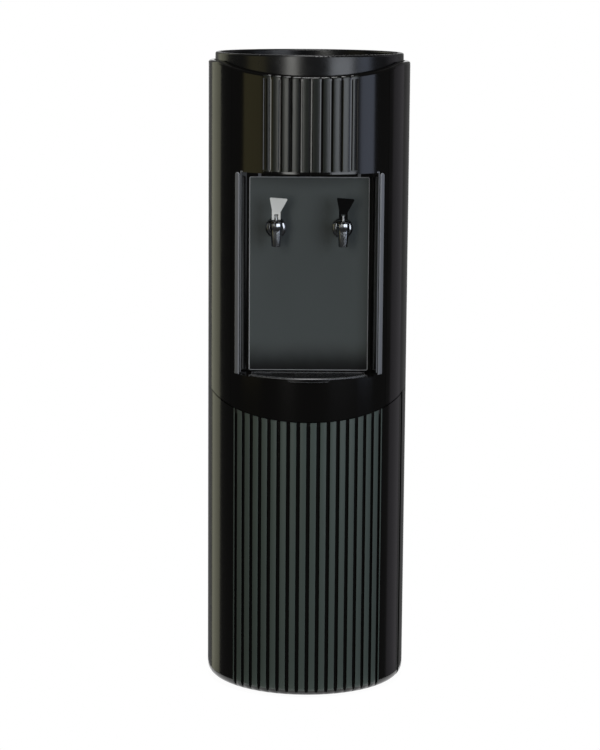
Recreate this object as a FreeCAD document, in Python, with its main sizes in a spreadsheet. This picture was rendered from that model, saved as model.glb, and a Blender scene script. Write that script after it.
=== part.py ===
import FreeCAD, Part
import math
import os
import re
import Sketcher

# Floor-standing cylindrical bottom-load water cooler, in millimetres.
# The front faces -Y, +X is the user's right, +Z is up, and the origin lies on the floor under
# the middle of the body. Angles are measured round the body from the front, positive to the right.

doc = FreeCAD.newDocument("WaterCooler")
sheet = doc.addObject("Spreadsheet::Sheet", "Sizes")
aliases = []


def size(alias, number, note):
    """Write one driving dimension in the sheet: its name, its value and what it is."""
    row = len(aliases) + 1
    sheet.set("A%d" % row, alias)
    sheet.set("B%d" % row, str(number))
    sheet.set("C%d" % row, note)
    sheet.setAlias("B%d" % row, alias)
    aliases.append(alias)


# ---- driving dimensions: the body ----
size("overall_height", 1016, "top of the collar over the floor")
size("foot_height", 4, "gap between the floor and the skin")
size("body_radius", 160, "outside of the skin")
size("skin_wall", 4.5, "moulded wall")
size("base_round", 15, "rounded bottom edge")
size("collar_stand", 12.5, "how far the collar stands out of the skin at the sides")
size("side_top", "=overall_height - collar_stand", "top of the skin at the sides and back")
size("front_dip", 20.5, "how far the skin's top dips to the middle of the front")
size("front_top", "=side_top - front_dip", "top of the skin at the middle of the front")
size("top_slope", 12.4, "degrees that the top dips to the front")
size("shoulder_bore", 151.5, "radius of the opening in the top of the skin")
size("shoulder_round", 4, "rounded top edge of the skin")
size("base_bore", 138, "radius of the opening in the bottom of the skin")
size("seam_side", 480, "joint between lower and upper skin at the sides")
size("seam_dip", 31.5, "how far that joint dips to the middle of the front")
size("seam_front", "=seam_side - seam_dip", "the same joint at the middle of the front")
size("seam_slope", 15.9, "degrees that the joint dips to the front")
size("seam_gap", 0.6, "shadow gap of the joint")
size("fascia_angle", 50, "half angle of the upper front")
size("side_gap", 0.55, "gap beside the upper front")
size("rear_flat", 116.9, "flat at the back, from the axis")
size("window_bottom", 500, "lower edge of the flat at the back")
size("window_margin", 63.5, "skin over the flat at the back")
size("window_top", "=side_top - window_margin", "upper edge of the flat at the back")
size("sleeve_fit", 0.05, "clearance round the sleeve inside the joint")
size("sleeve_thick", 3, "wall of the sleeve inside the joint")
size("sleeve_top", 496, "top of the sleeve inside the joint")
size("flange_reach", 4, "degrees that the upper front's flanges reach behind the cheeks")
size("screw_x", 97, "screws of the rear panel from the middle")
size("screw_shank", 1.5, "radius of a screw")
size("screw_head", 3.5, "radius of a screw's head")
size("rail_deep", 8, "depth of the rails behind the rear panel")
size("rib_ledge", 9.5, "width of the carrying ledges inside the skin")
size("ledge_thick", 4, "thickness of the carrying ledges")

# ---- fluting ----
size("flute_pitch", 5.66, "degrees from groove to groove")
size("flute_half", 2.5, "half width of a groove under its bevel")
size("flute_bevel", 0.8, "bevel along each groove")
size("flute_draft", 0.4, "taper of each side of a groove")
size("flute_depth", 2.6, "depth of a groove")
size("upper_flutes", 9, "full grooves over the niche")
size("upper_edge_angle", 25.9, "degrees to the last groove over the niche")
size("upper_flute_bottom", 840.5, "lower end of the upper grooves")
size("upper_flute_margin", 6, "plain band over the upper grooves")
size("lower_flutes", 17, "grooves of the door")
size("lower_flute_margin", 6, "plain band over the grooves of the door")

# ---- niche ----
size("niche_floor", 516, "top of the ledge")
size("niche_high", 319, "clear height of the niche")
size("niche_top", "=niche_floor + niche_high", "ceiling of the niche")
size("niche_half", 107, "half width at the mouth")
size("niche_mouth", 119, "distance of the mouth's edges in front of the axis")
size("niche_back_half", 98, "half width at the back")
size("niche_back", 88, "distance of the back wall in front of the axis")
size("niche_wall", 2.5, "wall of the niche")
size("ledge_deep", 16.5, "depth of the ledge under the niche")
size("strip_angle", 44.4, "degrees to each upright strip")
size("strip_width", 9, "width of a strip")
size("strip_proud", 2.2, "how far a strip stands out")
size("strip_round", 1.8, "rounded edge of a strip")
size("strip_bottom", "=niche_floor + 1.5", "lower end of a strip")
size("strip_top", "=niche_top - 0.4", "upper end of a strip")

# ---- splash panel ----
size("panel_half", 94.3, "half width of the splash panel")
size("panel_foot", 3.5, "gap under the splash panel")
size("panel_bottom", "=niche_floor + panel_foot", "lower edge of the splash panel")
size("panel_head", 9, "gap over the splash panel")
size("panel_top", "=niche_top - panel_head", "upper edge of the splash panel")
size("panel_thick", 3.5, "thickness of the splash panel")
size("panel_corner", 3, "corner radius of the splash panel")
size("panel_edge", 1.4, "rounded front edge of the splash panel")

# ---- drip tray ----
size("tray_half", 89, "half width of the tray's rim")
size("tray_back", 94.5, "back of the rim in front of the axis")
size("tray_front", 161.5, "front of the tray's lip at its middle")
size("tray_bow", 120, "radius of the lip's front")
size("tray_bevel", 1.2, "bevel along the lip")
size("lip_drop", 4, "how far the lip hangs in front of the skin")
size("lip_gap", 0.4, "gap between lip and skin")
size("well_front", 149, "front of the tub's plan at its middle")
size("well_bow", 118, "radius of that front")
size("tray_rim_thick", 2, "thickness of the rim")
size("tray_rim_width", 4, "overhang of the rim on the ledge")
size("tray_wall", 2, "wall of the tray")
size("tray_deep", 13, "depth of the tub under the ledge")
size("well_gap", 0.5, "clearance between tub and well")
size("grille_thick", 1.8, "thickness of the grille")
size("grille_gap", 0.4, "clearance round the grille")
size("grille_slot", 3, "width of a slot")
size("grille_pitch", 6.6, "distance from slot to slot")
size("grille_slots", 5, "number of curved slots")
size("grille_border", 6, "plain border round the slots")
size("grille_bridge", 4, "bridge between the slots' three lengths")
size("grille_slot_half", 60, "half reach of the slots across")
size("grille_slot_back", 104, "back end of the slots")
size("rest_gap", 0.2, "gap under a piece that lifts off its seat")

# ---- collar and top lid ----
size("collar_radius", 149.3, "outside of the collar")
size("collar_wall", 4, "wall of the collar's skirt")
size("collar_rim", 8, "width of the collar's rim")
size("collar_round", 3, "rounded edges of the rim")
size("lid_depth", 12, "how far the lid lies under the rim")
size("lid_thick", 3, "thickness of the lid")
size("lid_seat", 7.3, "width of the seat under the lid")
size("lid_gap", 0.5, "clearance round the lid")
size("notch_radius", 13, "finger notch of the lid")
size("collar_depth", 51.5, "the ledge that carries the collar under the top of the skin")
size("collar_ledge", "=side_top - collar_depth", "underside of the ledge that carries the collar")

# ---- door ----
size("door_angle", 72.4, "half angle of the door opening")
size("door_gap", 1.25, "gap at the door's free edge")
size("door_top_gap", 1.2, "gap over the door")
size("door_lip", 1.2, "lip left at the door's top edge")
size("door_rebate", 4, "height of the rebate behind that lip")
size("hinge_angle", 69.5, "degrees round to the hinge axis")
size("hinge_radius", 153, "hinge axis from the body's axis")
size("barrel_radius", 7, "rolled edge of the door round the hinge axis")
size("barrel_bottom", 22.4, "lower end of the rolled edge")
size("barrel_top", 469.6, "upper end of the rolled edge")
size("hinge_clear", 4.8, "clear radius round the hinge arms")
size("hinge_arm", 4.2, "half width of a hinge arm")
size("hinge_plate", 3, "thickness of a hinge plate")
size("pin_radius", 2, "hinge pin")
size("pin_fit", 0.06, "clearance round the hinge pin")
size("pin_length", 14, "length of the pin inside the rolled edge")
size("flange_width", 7.5, "depth of the flange at the door's free edge")
size("flange_thick", 2.5, "thickness of that flange")
size("strike_thick", 1, "steel strike on the flange")
size("magnet_gap", 0.4, "gap between strike and magnet")
size("magnet_bottom", 400, "lower end of the magnet")
size("magnet_height", 36, "height of the magnet")
size("magnet_thick", 9, "thickness of the magnet")

# ---- base and bottle compartment ----
size("pan_radius", 141.5, "outside of the base pan")
size("pan_wall", 3, "wall of the base pan")
size("pan_gap", 0.6, "gap between the base pan and the door's lower lip")
size("pan_top", 19, "top of the base pan")
size("foot_radius", 15, "rubber foot")
size("foot_circle", 112, "feet from the axis")
size("platform_radius", 128, "bottle platform")
size("platform_high", 11, "height of the bottle platform")
size("platform_rim", 7, "rim round the bottle's place")
size("platform_dish", 5, "depth of the bottle's place")
size("liner_radius", 141.3, "outside of the compartment's liner")
size("liner_wall", 2.5, "wall of the liner")
size("liner_angle", 80, "degrees round to the liner's edges")
size("deck_bottom", 470, "underside of the deck over the compartment")
size("deck_thick", 3, "thickness of the deck")
size("deck_radius", 145, "radius of the deck")

# ---- faucets ----
size("faucet_spread", 52, "each faucet from the middle")
size("faucet_front", 126, "faucet axis in front of the body's axis")
size("faucet_top", 757, "top of the faucet body")
size("faucet_bottom", 720, "outlet of the faucet")
size("faucet_top_radius", 10.2, "faucet body at the top")
size("faucet_bottom_radius", 7.3, "faucet body at the outlet")
size("facet_depth", 1.6, "flat on the front of the faucet body")
size("outlet_radius", 5, "mouth of the outlet")
size("outlet_depth", 3, "recess in the outlet")
size("shank_height", 746, "height of the threaded shank")
size("shank_radius", 7.5, "threaded shank")
size("shank_end", 70, "inner end of the shank in front of the axis")
size("shank_bore", 3, "water way in the shank")
size("shank_clear", 0.3, "clearance round the shank")
size("rosette_radius", 16.5, "rosette behind the faucet")
size("rosette_thick", 5, "thickness of the rosette")
size("nut_radius", 13, "hexagon nut behind the niche, across its corners")
size("nut_thick", 8, "thickness of the nut")
size("cap_radius", 12, "faucet cap")
size("cap_high", 4, "height of the cap")
size("stem_radius", 2.5, "faucet stem")
size("stem_clear", 0.3, "clearance round the stem")
size("stem_bottom", 741, "lower end of the stem")
size("stem_top", 768.8, "upper end of the stem")
size("lever_pin_height", 766.5, "pin of the lever")
size("lever_pin_radius", 1.3, "lever pin")
size("lever_bottom", 762.5, "heel of the lever")
size("lever_fork", 6.7, "half width over the fork")
size("lever_slot", 3, "half width of the fork's slot")
size("lever_slot_top", 770.6, "upper end of the slot")
size("lever_shoulder", 777, "where the paddle starts to flare")
size("lever_top_left", 796.5, "left top corner of the paddle")
size("lever_top_right", 794.5, "right top corner of the paddle")
size("lever_flare_left", 10.3, "left top corner from the faucet axis")
size("lever_flare_right", 18, "right top corner from the faucet axis")
size("lever_thick", 3.4, "thickness of the paddle")
size("heel_thick", 9, "depth of the heel")
size("heel_high", 8, "height of the heel")

# ---- water and cooling parts ----
size("tank_y", 14, "cold tank behind the body's axis")
size("tank_radius", 62, "cold tank")
size("sleeve_wall", 3, "evaporator sleeve round the cold tank")
size("foam_wall", 18, "foam round the cold tank")
size("tank_floor", 768, "underside of the cold tank's foam")
size("tank_high", 176, "height of the foam")
size("tank_wall", 1.2, "steel wall of both tanks")
size("port_radius", 3, "ports in the tanks' walls")
size("bracket_thick", 3, "tank bracket")
size("bracket_half", 92, "half width of the tank bracket")
size("bracket_front", 62, "front of the tank bracket")
size("bracket_flange", 30, "height of the bracket's flange")
size("post_radius", 5, "posts under the tank bracket")
size("post_x", 82, "posts from the middle")
size("post_y", 50, "posts in front of the axis")
size("compressor_x", -50, "compressor from the middle")
size("compressor_y", 38, "compressor behind the axis")
size("compressor_radius", 58, "compressor shell")
size("compressor_high", 150, "height of the compressor shell")
size("compressor_dome", 26, "height of its domes")
size("grommet_high", 14, "rubber grommets under the compressor")
size("grommet_radius", 8, "radius of a grommet")
size("hot_x", 78, "hot tank from the middle")
size("hot_y", 22, "hot tank behind the axis")
size("hot_radius", 38, "hot tank")
size("hot_foam", 8, "jacket round the hot tank")
size("hot_high", 140, "height of the hot tank")
size("hot_stand", 12, "stand under the hot tank")
size("pump_x", 14, "pump from the middle")
size("pump_y", 52, "pump in front of the axis")
size("pump_radius", 19, "pump motor")
size("pump_high", 62, "height of the pump motor")
size("pump_head", 24, "half width of the pump head")
size("pump_head_high", 22, "height of the pump head")
size("tube_radius", 4, "water tubes")
size("line_radius", 3, "copper lines")
size("line_height", 800, "height at which the suction line leaves the foam")
size("capillary_radius", 1.5, "capillary line")
size("capillary_height", 850, "height at which the capillary enters the foam")
size("drier_radius", 8, "filter drier")
size("drier_high", 60, "length of the filter drier")

# ---- rear panel and condenser ----
size("sheet_thick", 1.5, "steel sheet at the back")
size("rear_half", 105.5, "half width of the rear panel")
size("coil_radius", 2.5, "condenser tube")
size("coil_stand", 8, "condenser tube off the rear panel")
size("coil_half", 74, "half length of a straight run")
size("coil_bend", 14, "bend radius of the condenser tube")
size("coil_bottom", 612, "lowest run")
size("coil_runs", 11, "number of runs")
size("wire_radius", 0.9, "condenser wires")
size("wire_pitch", 8, "distance from wire to wire")
size("wires", 18, "number of wires")
size("wire_over", 8, "wires past the outer runs")
size("box_half", 38, "half width of the control box")
size("box_x", 36, "control box from the middle")
size("box_deep", 30, "depth of the control box")
size("box_bottom", 512, "underside of the control box")
size("box_high", 78, "height of the control box")
size("switch_z", 572, "height of the switches")
size("switch_spread", 16, "each switch from the box's middle")
size("switch_half", 6.5, "half width of a rocker")
size("switch_high", 9.5, "half height of a rocker")
size("switch_frame", 2, "frame round a rocker")
size("rocker_gap", 0.4, "clearance round a rocker")
size("rocker_tilt", 8, "degrees that a rocker leans at rest")
size("inlet_z", 534, "height of the power inlet")
size("drain_x", 84, "drain from the middle")
size("drain_z", 526, "height of the drain")
size("drain_radius", 9, "drain fitting")
size("drain_spigot", 5, "spigot of the drain fitting")
size("tank_front_run", 75, "fill tube in front of the axis")
size("foam_reach", 83, "outside of the cold tank's foam")
size("box_wall", 2, "wall of the control box")
size("switch_wall", 1.5, "wall of a switch")
size("switch_deep", 13, "depth of a switch behind the panel")
size("rocker_half", 8.5, "half height of a rocker")
size("trunnion_radius", 1.2, "pin that a rocker turns on")
size("inlet_half", 14, "half width of the power inlet")
size("inlet_high", 10, "half height of the power inlet")
size("probe_x", -72, "bottle probe from the middle")
size("probe_y", 56, "bottle probe behind the axis")
size("probe_radius", 6, "bottle probe")
size("probe_bottom", 60, "lower end of the probe")
size("probe_collar", 386, "underside of the probe's cap")
size("probe_cap", 26, "radius of the probe's cap")
size("probe_cap_high", 22, "height of the probe's cap")
size("holder_thick", 5, "holder under the probe's cap")
size("hose_radius", 4.5, "hose between probe and deck")
doc.recompute()


# ---- helpers ----
def expr(text):
    """Turn the sheet's names in a formula into references that an object can be bound to."""
    def refer(match):
        word = match.group(0)
        return "Sizes." + word if word in aliases else word
    return re.sub(r"[a-z_]+[a-z_0-9]*", refer, str(text))


def value(text):
    """The number that a formula of the sheet's names gives now."""
    return float(sheet.evalExpression(str(text)))


def bind(item, property_name, text):
    item.setExpression(property_name, expr(text))


def place(item, x, y, z):
    """Bind where an object stands."""
    bind(item, "Placement.Base.x", x)
    bind(item, "Placement.Base.y", y)
    bind(item, "Placement.Base.z", z)
    return item


def turn(item, angle):
    """Turn an object round the body's axis, by degrees from the front, positive to the right."""
    item.Placement = FreeCAD.Placement(FreeCAD.Vector(), FreeCAD.Rotation(FreeCAD.Vector(0, 0, 1), 1))
    bind(item, "Placement.Rotation.Angle", "(%s) * 1 deg" % angle)
    return item


def block(name, x0, x1, y0, y1, z0, z1):
    """A box between two corners."""
    item = doc.addObject("Part::Box", name)
    bind(item, "Length", "(%s) - (%s)" % (x1, x0))
    bind(item, "Width", "(%s) - (%s)" % (y1, y0))
    bind(item, "Height", "(%s) - (%s)" % (z1, z0))
    return place(item, x0, y0, z0)


TURNS = {
    "z": FreeCAD.Rotation(),
    "y": FreeCAD.Rotation(FreeCAD.Vector(1, 0, 0), -90),
    "x": FreeCAD.Rotation(FreeCAD.Vector(0, 1, 0), 90),
}


def bar(name, angle, x0, x1, y0, y1, z0, z1):
    """A box in front of the axis, turned round the body's axis."""
    return turn(group(name, [block(name + "_box", x0, x1, y0, y1, z0, z1)]), angle)


def rod(name, radius, x, y, z, length, axis="z"):
    """A cylinder that starts at a point and runs along +X, +Y or +Z."""
    item = doc.addObject("Part::Cylinder", name)
    item.Placement = FreeCAD.Placement(FreeCAD.Vector(), TURNS[axis])
    bind(item, "Radius", radius)
    bind(item, "Height", length)
    return place(item, x, y, z)


def cone(name, radius_start, radius_end, x, y, z, length, axis="z"):
    item = doc.addObject("Part::Cone", name)
    item.Placement = FreeCAD.Placement(FreeCAD.Vector(), TURNS[axis])
    bind(item, "Radius1", radius_start)
    bind(item, "Radius2", radius_end)
    bind(item, "Height", length)
    return place(item, x, y, z)


def wedge(name, start, end, z0, z1, radius="body_radius + 20"):
    """A slice of the body between two angles from the front."""
    item = doc.addObject("Part::Cylinder", name)
    bind(item, "Radius", radius)
    bind(item, "Height", "(%s) - (%s)" % (z1, z0))
    bind(item, "Angle", "(%s) - (%s)" % (end, start))
    item.Placement = FreeCAD.Placement(FreeCAD.Vector(), FreeCAD.Rotation(FreeCAD.Vector(0, 0, 1), 1))
    bind(item, "Placement.Base.z", z0)
    bind(item, "Placement.Rotation.Angle", "(%s - 90) * 1 deg" % start)
    return item


def join(name, *items):
    item = doc.addObject("Part::MultiFuse", name)
    item.Shapes = list(items)
    item.Refine = True
    return item


def group(name, items):
    """Like solids that share one node."""
    item = doc.addObject("Part::Compound", name)
    item.Links = list(items)
    return item


def cut(name, base, *tools):
    item = doc.addObject("Part::Cut", name)
    item.Base = base
    item.Tool = tools[0] if len(tools) == 1 else join(name + "_tools", *tools)
    return item


def common(name, first, second):
    item = doc.addObject("Part::Common", name)
    item.Base = first
    item.Tool = second
    return item


def ring(name, outer, inner, z0, z1, start=None, end=None):
    """A ring round the body's axis, or the part of it between two angles."""
    height = "(%s) - (%s)" % (z1, z0)
    full = cut(name + "_full", rod(name + "_outer", outer, 0, 0, z0, height),
               rod(name + "_inner", inner, 0, 0, z0, height))
    if start is None:
        return full
    return common(name, full, wedge(name + "_slice", start, end, z0, z1))


def new_body(name):
    return doc.addObject("PartDesign::Body", name)


def plane_of(body, role):
    return [feature for feature in body.Origin.OriginFeatures if feature.Role == role][0]


def new_sketch(body, name, role, offset=None):
    sketch = body.newObject("Sketcher::SketchObject", name)
    sketch.AttachmentSupport = [(plane_of(body, role), "")]
    sketch.MapMode = "FlatFace"
    if offset is not None:
        bind(sketch, "AttachmentOffset.Base.z", offset)
    return sketch


def fix_point(sketch, line, end, across, up):
    """Bind one point of a sketch to two formulas."""
    for kind, formula in (("DistanceX", across), ("DistanceY", up)):
        index = sketch.addConstraint(Sketcher.Constraint(kind, -1, 1, line, end, value(formula)))
        bind(sketch, "Constraints[%d]" % index, formula)


def polygon(sketch, points):
    """A closed outline of straight lines whose corners are formulas."""
    corners = [FreeCAD.Vector(value(across), value(up), 0) for across, up in points]
    count = len(points)
    for index in range(count):
        sketch.addGeometry(Part.LineSegment(corners[index], corners[(index + 1) % count]))
    for index in range(count):
        sketch.addConstraint(Sketcher.Constraint("Coincident", index, 2, (index + 1) % count, 1))
    for index, (across, up) in enumerate(points):
        fix_point(sketch, index, 1, across, up)
    return sketch


def circle(sketch, radius, across="0", up="0"):
    centre = FreeCAD.Vector(value(across), value(up), 0)
    line = sketch.addGeometry(Part.Circle(centre, FreeCAD.Vector(0, 0, 1), value(radius)))
    fix_point(sketch, line, 3, across, up)
    index = sketch.addConstraint(Sketcher.Constraint("Radius", line, value(radius)))
    bind(sketch, "Constraints[%d]" % index, radius)
    return sketch


def pad(body, sketch, length, both=False, back=False):
    item = body.newObject("PartDesign::Pad", sketch.Name + "_pad")
    item.Profile = sketch
    item.Midplane = both
    item.Reversed = back
    bind(item, "Length", length)
    return item


def pocket(body, sketch, length, both=False, back=False):
    item = body.newObject("PartDesign::Pocket", sketch.Name + "_pocket")
    item.Profile = sketch
    item.Midplane = both
    item.Reversed = back
    bind(item, "Length", length)
    return item


def revolve(body, sketch, angle="360"):
    item = body.newObject("PartDesign::Revolution", sketch.Name + "_turned")
    item.Profile = sketch
    item.ReferenceAxis = (sketch, ["V_Axis"])
    bind(item, "Angle", angle)
    return item


def round_edges(body, base, radius, chosen):
    """Fillet the edges of a feature that a rule picks by their place."""
    doc.recompute()
    names = ["Edge%d" % (index + 1) for index, edge in enumerate(base.Shape.Edges) if chosen(edge)]
    item = body.newObject("PartDesign::Fillet", base.Name + "_round")
    item.Base = (base, names)
    bind(item, "Radius", radius)
    return item


def fan(body, feature, count, pitch):
    """Repeat a feature round the body's axis, centred on the front."""
    item = body.newObject("PartDesign::PolarPattern", feature.Name + "_fan")
    item.Originals = [feature]
    item.Axis = (plane_of(body, "Z_Axis"), [""])
    bind(item, "Angle", "(%s) * ((%s) - 1)" % (pitch, count))
    bind(item, "Occurrences", count)
    body.Tip = item
    turn(body, "0 - (%s) * ((%s) - 1) / 2" % (pitch, count))
    return item


def tube(name, radius, points, bend, hollow=None):
    """A tube along straight runs joined by tangent arcs."""
    corners = [FreeCAD.Vector(*[value(part) for part in point]) for point in points]
    edges = []
    start = corners[0]
    for before, corner, after in zip(corners, corners[1:], corners[2:]):
        incoming = (corner - before).normalize()
        outgoing = (after - corner).normalize()
        half_turn = incoming.getAngle(outgoing) / 2
        room = 0.45 * min((corner - before).Length, (after - corner).Length)
        reach = min(value(bend) * math.tan(half_turn), room)
        arc_radius = reach / math.tan(half_turn)
        first = corner - incoming * reach
        last = corner + outgoing * reach
        inward = (outgoing - incoming).normalize()
        middle = corner + inward * (arc_radius / math.cos(half_turn) - arc_radius)
        edges.append(Part.LineSegment(start, first).toShape())
        edges.append(Part.Arc(first, middle, last).toShape())
        start = last
    edges.append(Part.LineSegment(start, corners[-1]).toShape())
    path = Part.Wire(edges)
    direction = corners[1] - corners[0]
    section = Part.Wire(Part.makeCircle(value(radius), corners[0], direction))
    item = doc.addObject("Part::Feature", name)
    item.Shape = path.makePipeShell([section], True, False)
    if hollow is not None:
        bore = Part.Wire(Part.makeCircle(value(hollow), corners[0], direction))
        item.Shape = item.Shape.cut(path.makePipeShell([bore], True, False))
    item.Placement = FreeCAD.Placement()
    return item


nodes = []


def node(item, name):
    """Name a finished piece."""
    item.Label = name
    nodes.append(item)
    return item


# ---- forms that several pieces share ----
# The slope of the top and of the joint: a plane that rises from the middle of the front
# until it meets the level of the sides.
def dipping(name, front, side, slope, above, shift="0"):
    """All that lies over or under a line that is level at the sides and dips to the front."""
    reach = "body_radius + 20"
    meet = "(%s) - (%s)" % (side, front)
    low = "(%s) - 20 * tan((%s) * 1 deg) + (%s)" % (front, slope, shift)
    level = "(%s) + (%s)" % (side, shift)
    far = "side_top + 60" if above else "-10"
    body = new_body(name)
    sketch = new_sketch(body, name + "_side_view", "YZ_Plane")
    polygon(sketch, [
        ("-(%s)" % reach, low),
        ("(%s) / tan((%s) * 1 deg) - body_radius" % (meet, slope), level),
        (reach, level),
        (reach, far),
        ("-(%s)" % reach, far),
    ])
    pad(body, sketch, "2 * (%s)" % reach, both=True)
    return body


def top_dip(name, above, shift="0"):
    return dipping(name, "front_top", "side_top", "top_slope", above, shift)


def seam_dip(name, above, shift="0"):
    return dipping(name, "seam_front", "seam_side", "seam_slope", above, shift)


def round_form(name, inset, edge, top_round):
    """The whole body as one closed form, inset by a wall."""
    body = new_body(name)
    sketch = new_sketch(body, name + "_plan", "XY_Plane", "foot_height + (%s)" % inset)
    circle(sketch, "body_radius - (%s)" % inset)
    column = pad(body, sketch, "side_top - foot_height")
    doc.recompute()
    bottom = value("foot_height + (%s)" % inset)
    rounded = round_edges(body, column, edge, lambda line: line.BoundBox.ZMax < bottom + 1)
    body.Tip = rounded
    doc.recompute()
    shift = "0" if inset == "0" else "-(%s) / cos(top_slope * 1 deg)" % inset
    topped = cut(name + "_topped", body, top_dip(name + "_top", True, shift))
    if top_round is None:
        return topped
    doc.recompute()
    limit = value("seam_side")
    fillet = doc.addObject("Part::Fillet", name + "_shoulder")
    fillet.Base = topped
    fillet.Edges = [(index + 1, value(top_round), value(top_round))
                    for index, line in enumerate(topped.Shape.Edges)
                    if line.BoundBox.ZMin > limit and line.Curve.TypeId != "Part::GeomLine"]
    return fillet


outer_form = round_form("outer_form", "0", "base_round", "shoulder_round")
inner_form = round_form("inner_form", "skin_wall", "base_round - skin_wall", None)
skin = cut("skin", outer_form, inner_form,
           rod("skin_top_hole", "shoulder_bore", 0, 0, "seam_side", "side_top"),
           rod("skin_base_hole", "base_bore", 0, 0, "-1", "pan_top"))
inner_radius = "body_radius - skin_wall"
fascia_half = "fascia_angle - side_gap / body_radius * 90 / pi"
cheek_half = "fascia_angle + side_gap / body_radius * 90 / pi"


def flute_cutter(name, count, bottom, limit, spread=None):
    """Upright grooves with bevelled edges, a tapered wall and a flat floor."""
    body = new_body(name)
    sketch = new_sketch(body, name + "_section", "XY_Plane", bottom)
    edge = "flute_half + flute_bevel + 0.6"
    front = "-body_radius - 0.6"
    polygon(sketch, [
        ("-(%s)" % edge, front),
        ("-flute_half", "flute_bevel - body_radius"),
        ("flute_draft - flute_half", "flute_depth - body_radius"),
        ("flute_half - flute_draft", "flute_depth - body_radius"),
        ("flute_half", "flute_bevel - body_radius"),
        (edge, front),
    ])
    groove = pad(body, sketch, "side_top")
    if spread is None:
        fan(body, groove, count, "flute_pitch")
    else:
        fan(body, groove, count, spread)
    return common(name + "_ended", body, limit)


# ---- lower and upper skin ----
free_edge = "door_gap / body_radius * 180 / pi - door_angle"
lower_zone = common("lower_zone", skin, seam_dip("lower_limit", False))
lower_ledge = ring("lower_ledge", "body_radius - skin_wall / 2", "body_radius - skin_wall - rib_ledge",
                   "deck_bottom - ledge_thick", "deck_bottom", "door_angle + 6", "354 - door_angle")
lower_wrap = cut("lower_wrap", lower_zone,
                 wedge("door_opening", "-door_angle", "door_angle", "-1", "seam_side + 1"))
sleeve = ring("joint_sleeve", inner_radius + " - sleeve_fit", inner_radius + " - sleeve_thick",
              "deck_bottom - ledge_thick", "sleeve_top", "door_angle + 6", "354 - door_angle")
magnet_face = "-strike_thick - magnet_gap"
catch_z = "magnet_bottom + magnet_height"
magnet_back = magnet_face + " - magnet_thick"
magnet_seat = bar("magnet_seat", free_edge, magnet_back + " - sleeve_thick", magnet_back,
                  "skin_wall - body_radius - 1", "skin_wall - body_radius + 9",
                  "magnet_bottom - 2", catch_z + " + 2")
node(join("lower_housing_whole", lower_wrap, lower_ledge, sleeve, magnet_seat), "lower_housing")

upper_zone = common("upper_zone", skin, seam_dip("upper_limit", True, "seam_gap"))
upper_ledge = ring("upper_ledge", "body_radius - skin_wall / 2", "body_radius - skin_wall - rib_ledge",
                   "collar_ledge", "collar_ledge + ledge_thick", "fascia_angle + 6", "354 - fascia_angle")
upper_seat = ring("upper_seat", inner_radius + " + 1", inner_radius + " - sleeve_thick", "sleeve_top",
                  "sleeve_top + sleeve_thick", "door_angle + 6", "354 - door_angle")
screw_heights = ["window_bottom + 30", "(window_bottom + window_top) / 2", "window_top - 30"]
rails = []
rail_bores = []
for side in (-1, 1):
    ends = sorted(["%s * (screw_x - 5)" % side, "%s * (screw_x + 11)" % side], key=value)
    beam = block("rear_rail", ends[0], ends[1], "rear_flat - rail_deep", "rear_flat",
                 "window_bottom + 5", "window_top - 5")
    rails.append(common("rail_bound", beam, rod("rail_limit", inner_radius + " + 1", 0, 0, "window_bottom",
                                                "window_top - window_bottom")))
    for height in screw_heights:
        rail_bores.append(rod("rail_bore", "screw_shank + pin_fit", "%s * screw_x" % side,
                              "rear_flat - rail_deep - 1", height, "rail_deep + 2", "y"))
rear_cut = block("rear_cut", "-body_radius", "body_radius", "rear_flat", "body_radius + 5",
                 "window_bottom", "window_top")
upper_wrap = cut("upper_wrap", upper_zone,
                 wedge("fascia_opening", "-(%s)" % cheek_half, cheek_half, "seam_front - 20", "side_top + 5"),
                 rear_cut)
upper_joined = join("upper_joined", upper_wrap, upper_ledge, upper_seat, rails[0], rails[1])
node(cut("upper_housing_whole", upper_joined, *rail_bores), "upper_housing")


# ---- upper front: fluted moulding with the niche, its ledge and the upright strips ----
def niche_plan(name, back, half_back, half_mouth, z0, z1):
    """A form with the plan of the niche, open to the front."""
    body = new_body(name)
    sketch = new_sketch(body, name + "_plan", "XY_Plane", z0)
    front = "-body_radius - 10"
    polygon(sketch, [
        ("-(%s)" % half_back, "-(%s)" % back),
        ("-(%s)" % half_mouth, "-niche_mouth"),
        ("-(%s)" % half_mouth, front),
        (half_mouth, front),
        (half_mouth, "-niche_mouth"),
        (half_back, "-(%s)" % back),
    ])
    pad(body, sketch, "(%s) - (%s)" % (z1, z0))
    return body


def tray_form(name, inset, z0, z1, part="well", taper=""):
    """A form with the plan of the tub or the tray's rim, flat behind and bowed in front."""
    plan = block(name + "_plan", "(%s) - tray_half" % inset, "tray_half - (%s)" % inset,
                 "-%s_front" % part, "-tray_back - (%s)" % inset, z0, z1)
    radius = "%s_bow - (%s)" % (part, inset)
    centre = "%s_bow - %s_front" % (part, part)
    height = "(%s) - (%s)" % (z1, z0)
    if taper:
        bow = cone(name + "_bow", radius, radius + taper, 0, centre, z0, height)
    else:
        bow = rod(name + "_bow", radius, 0, centre, z0, height)
    return common(name, plan, bow)


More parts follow.
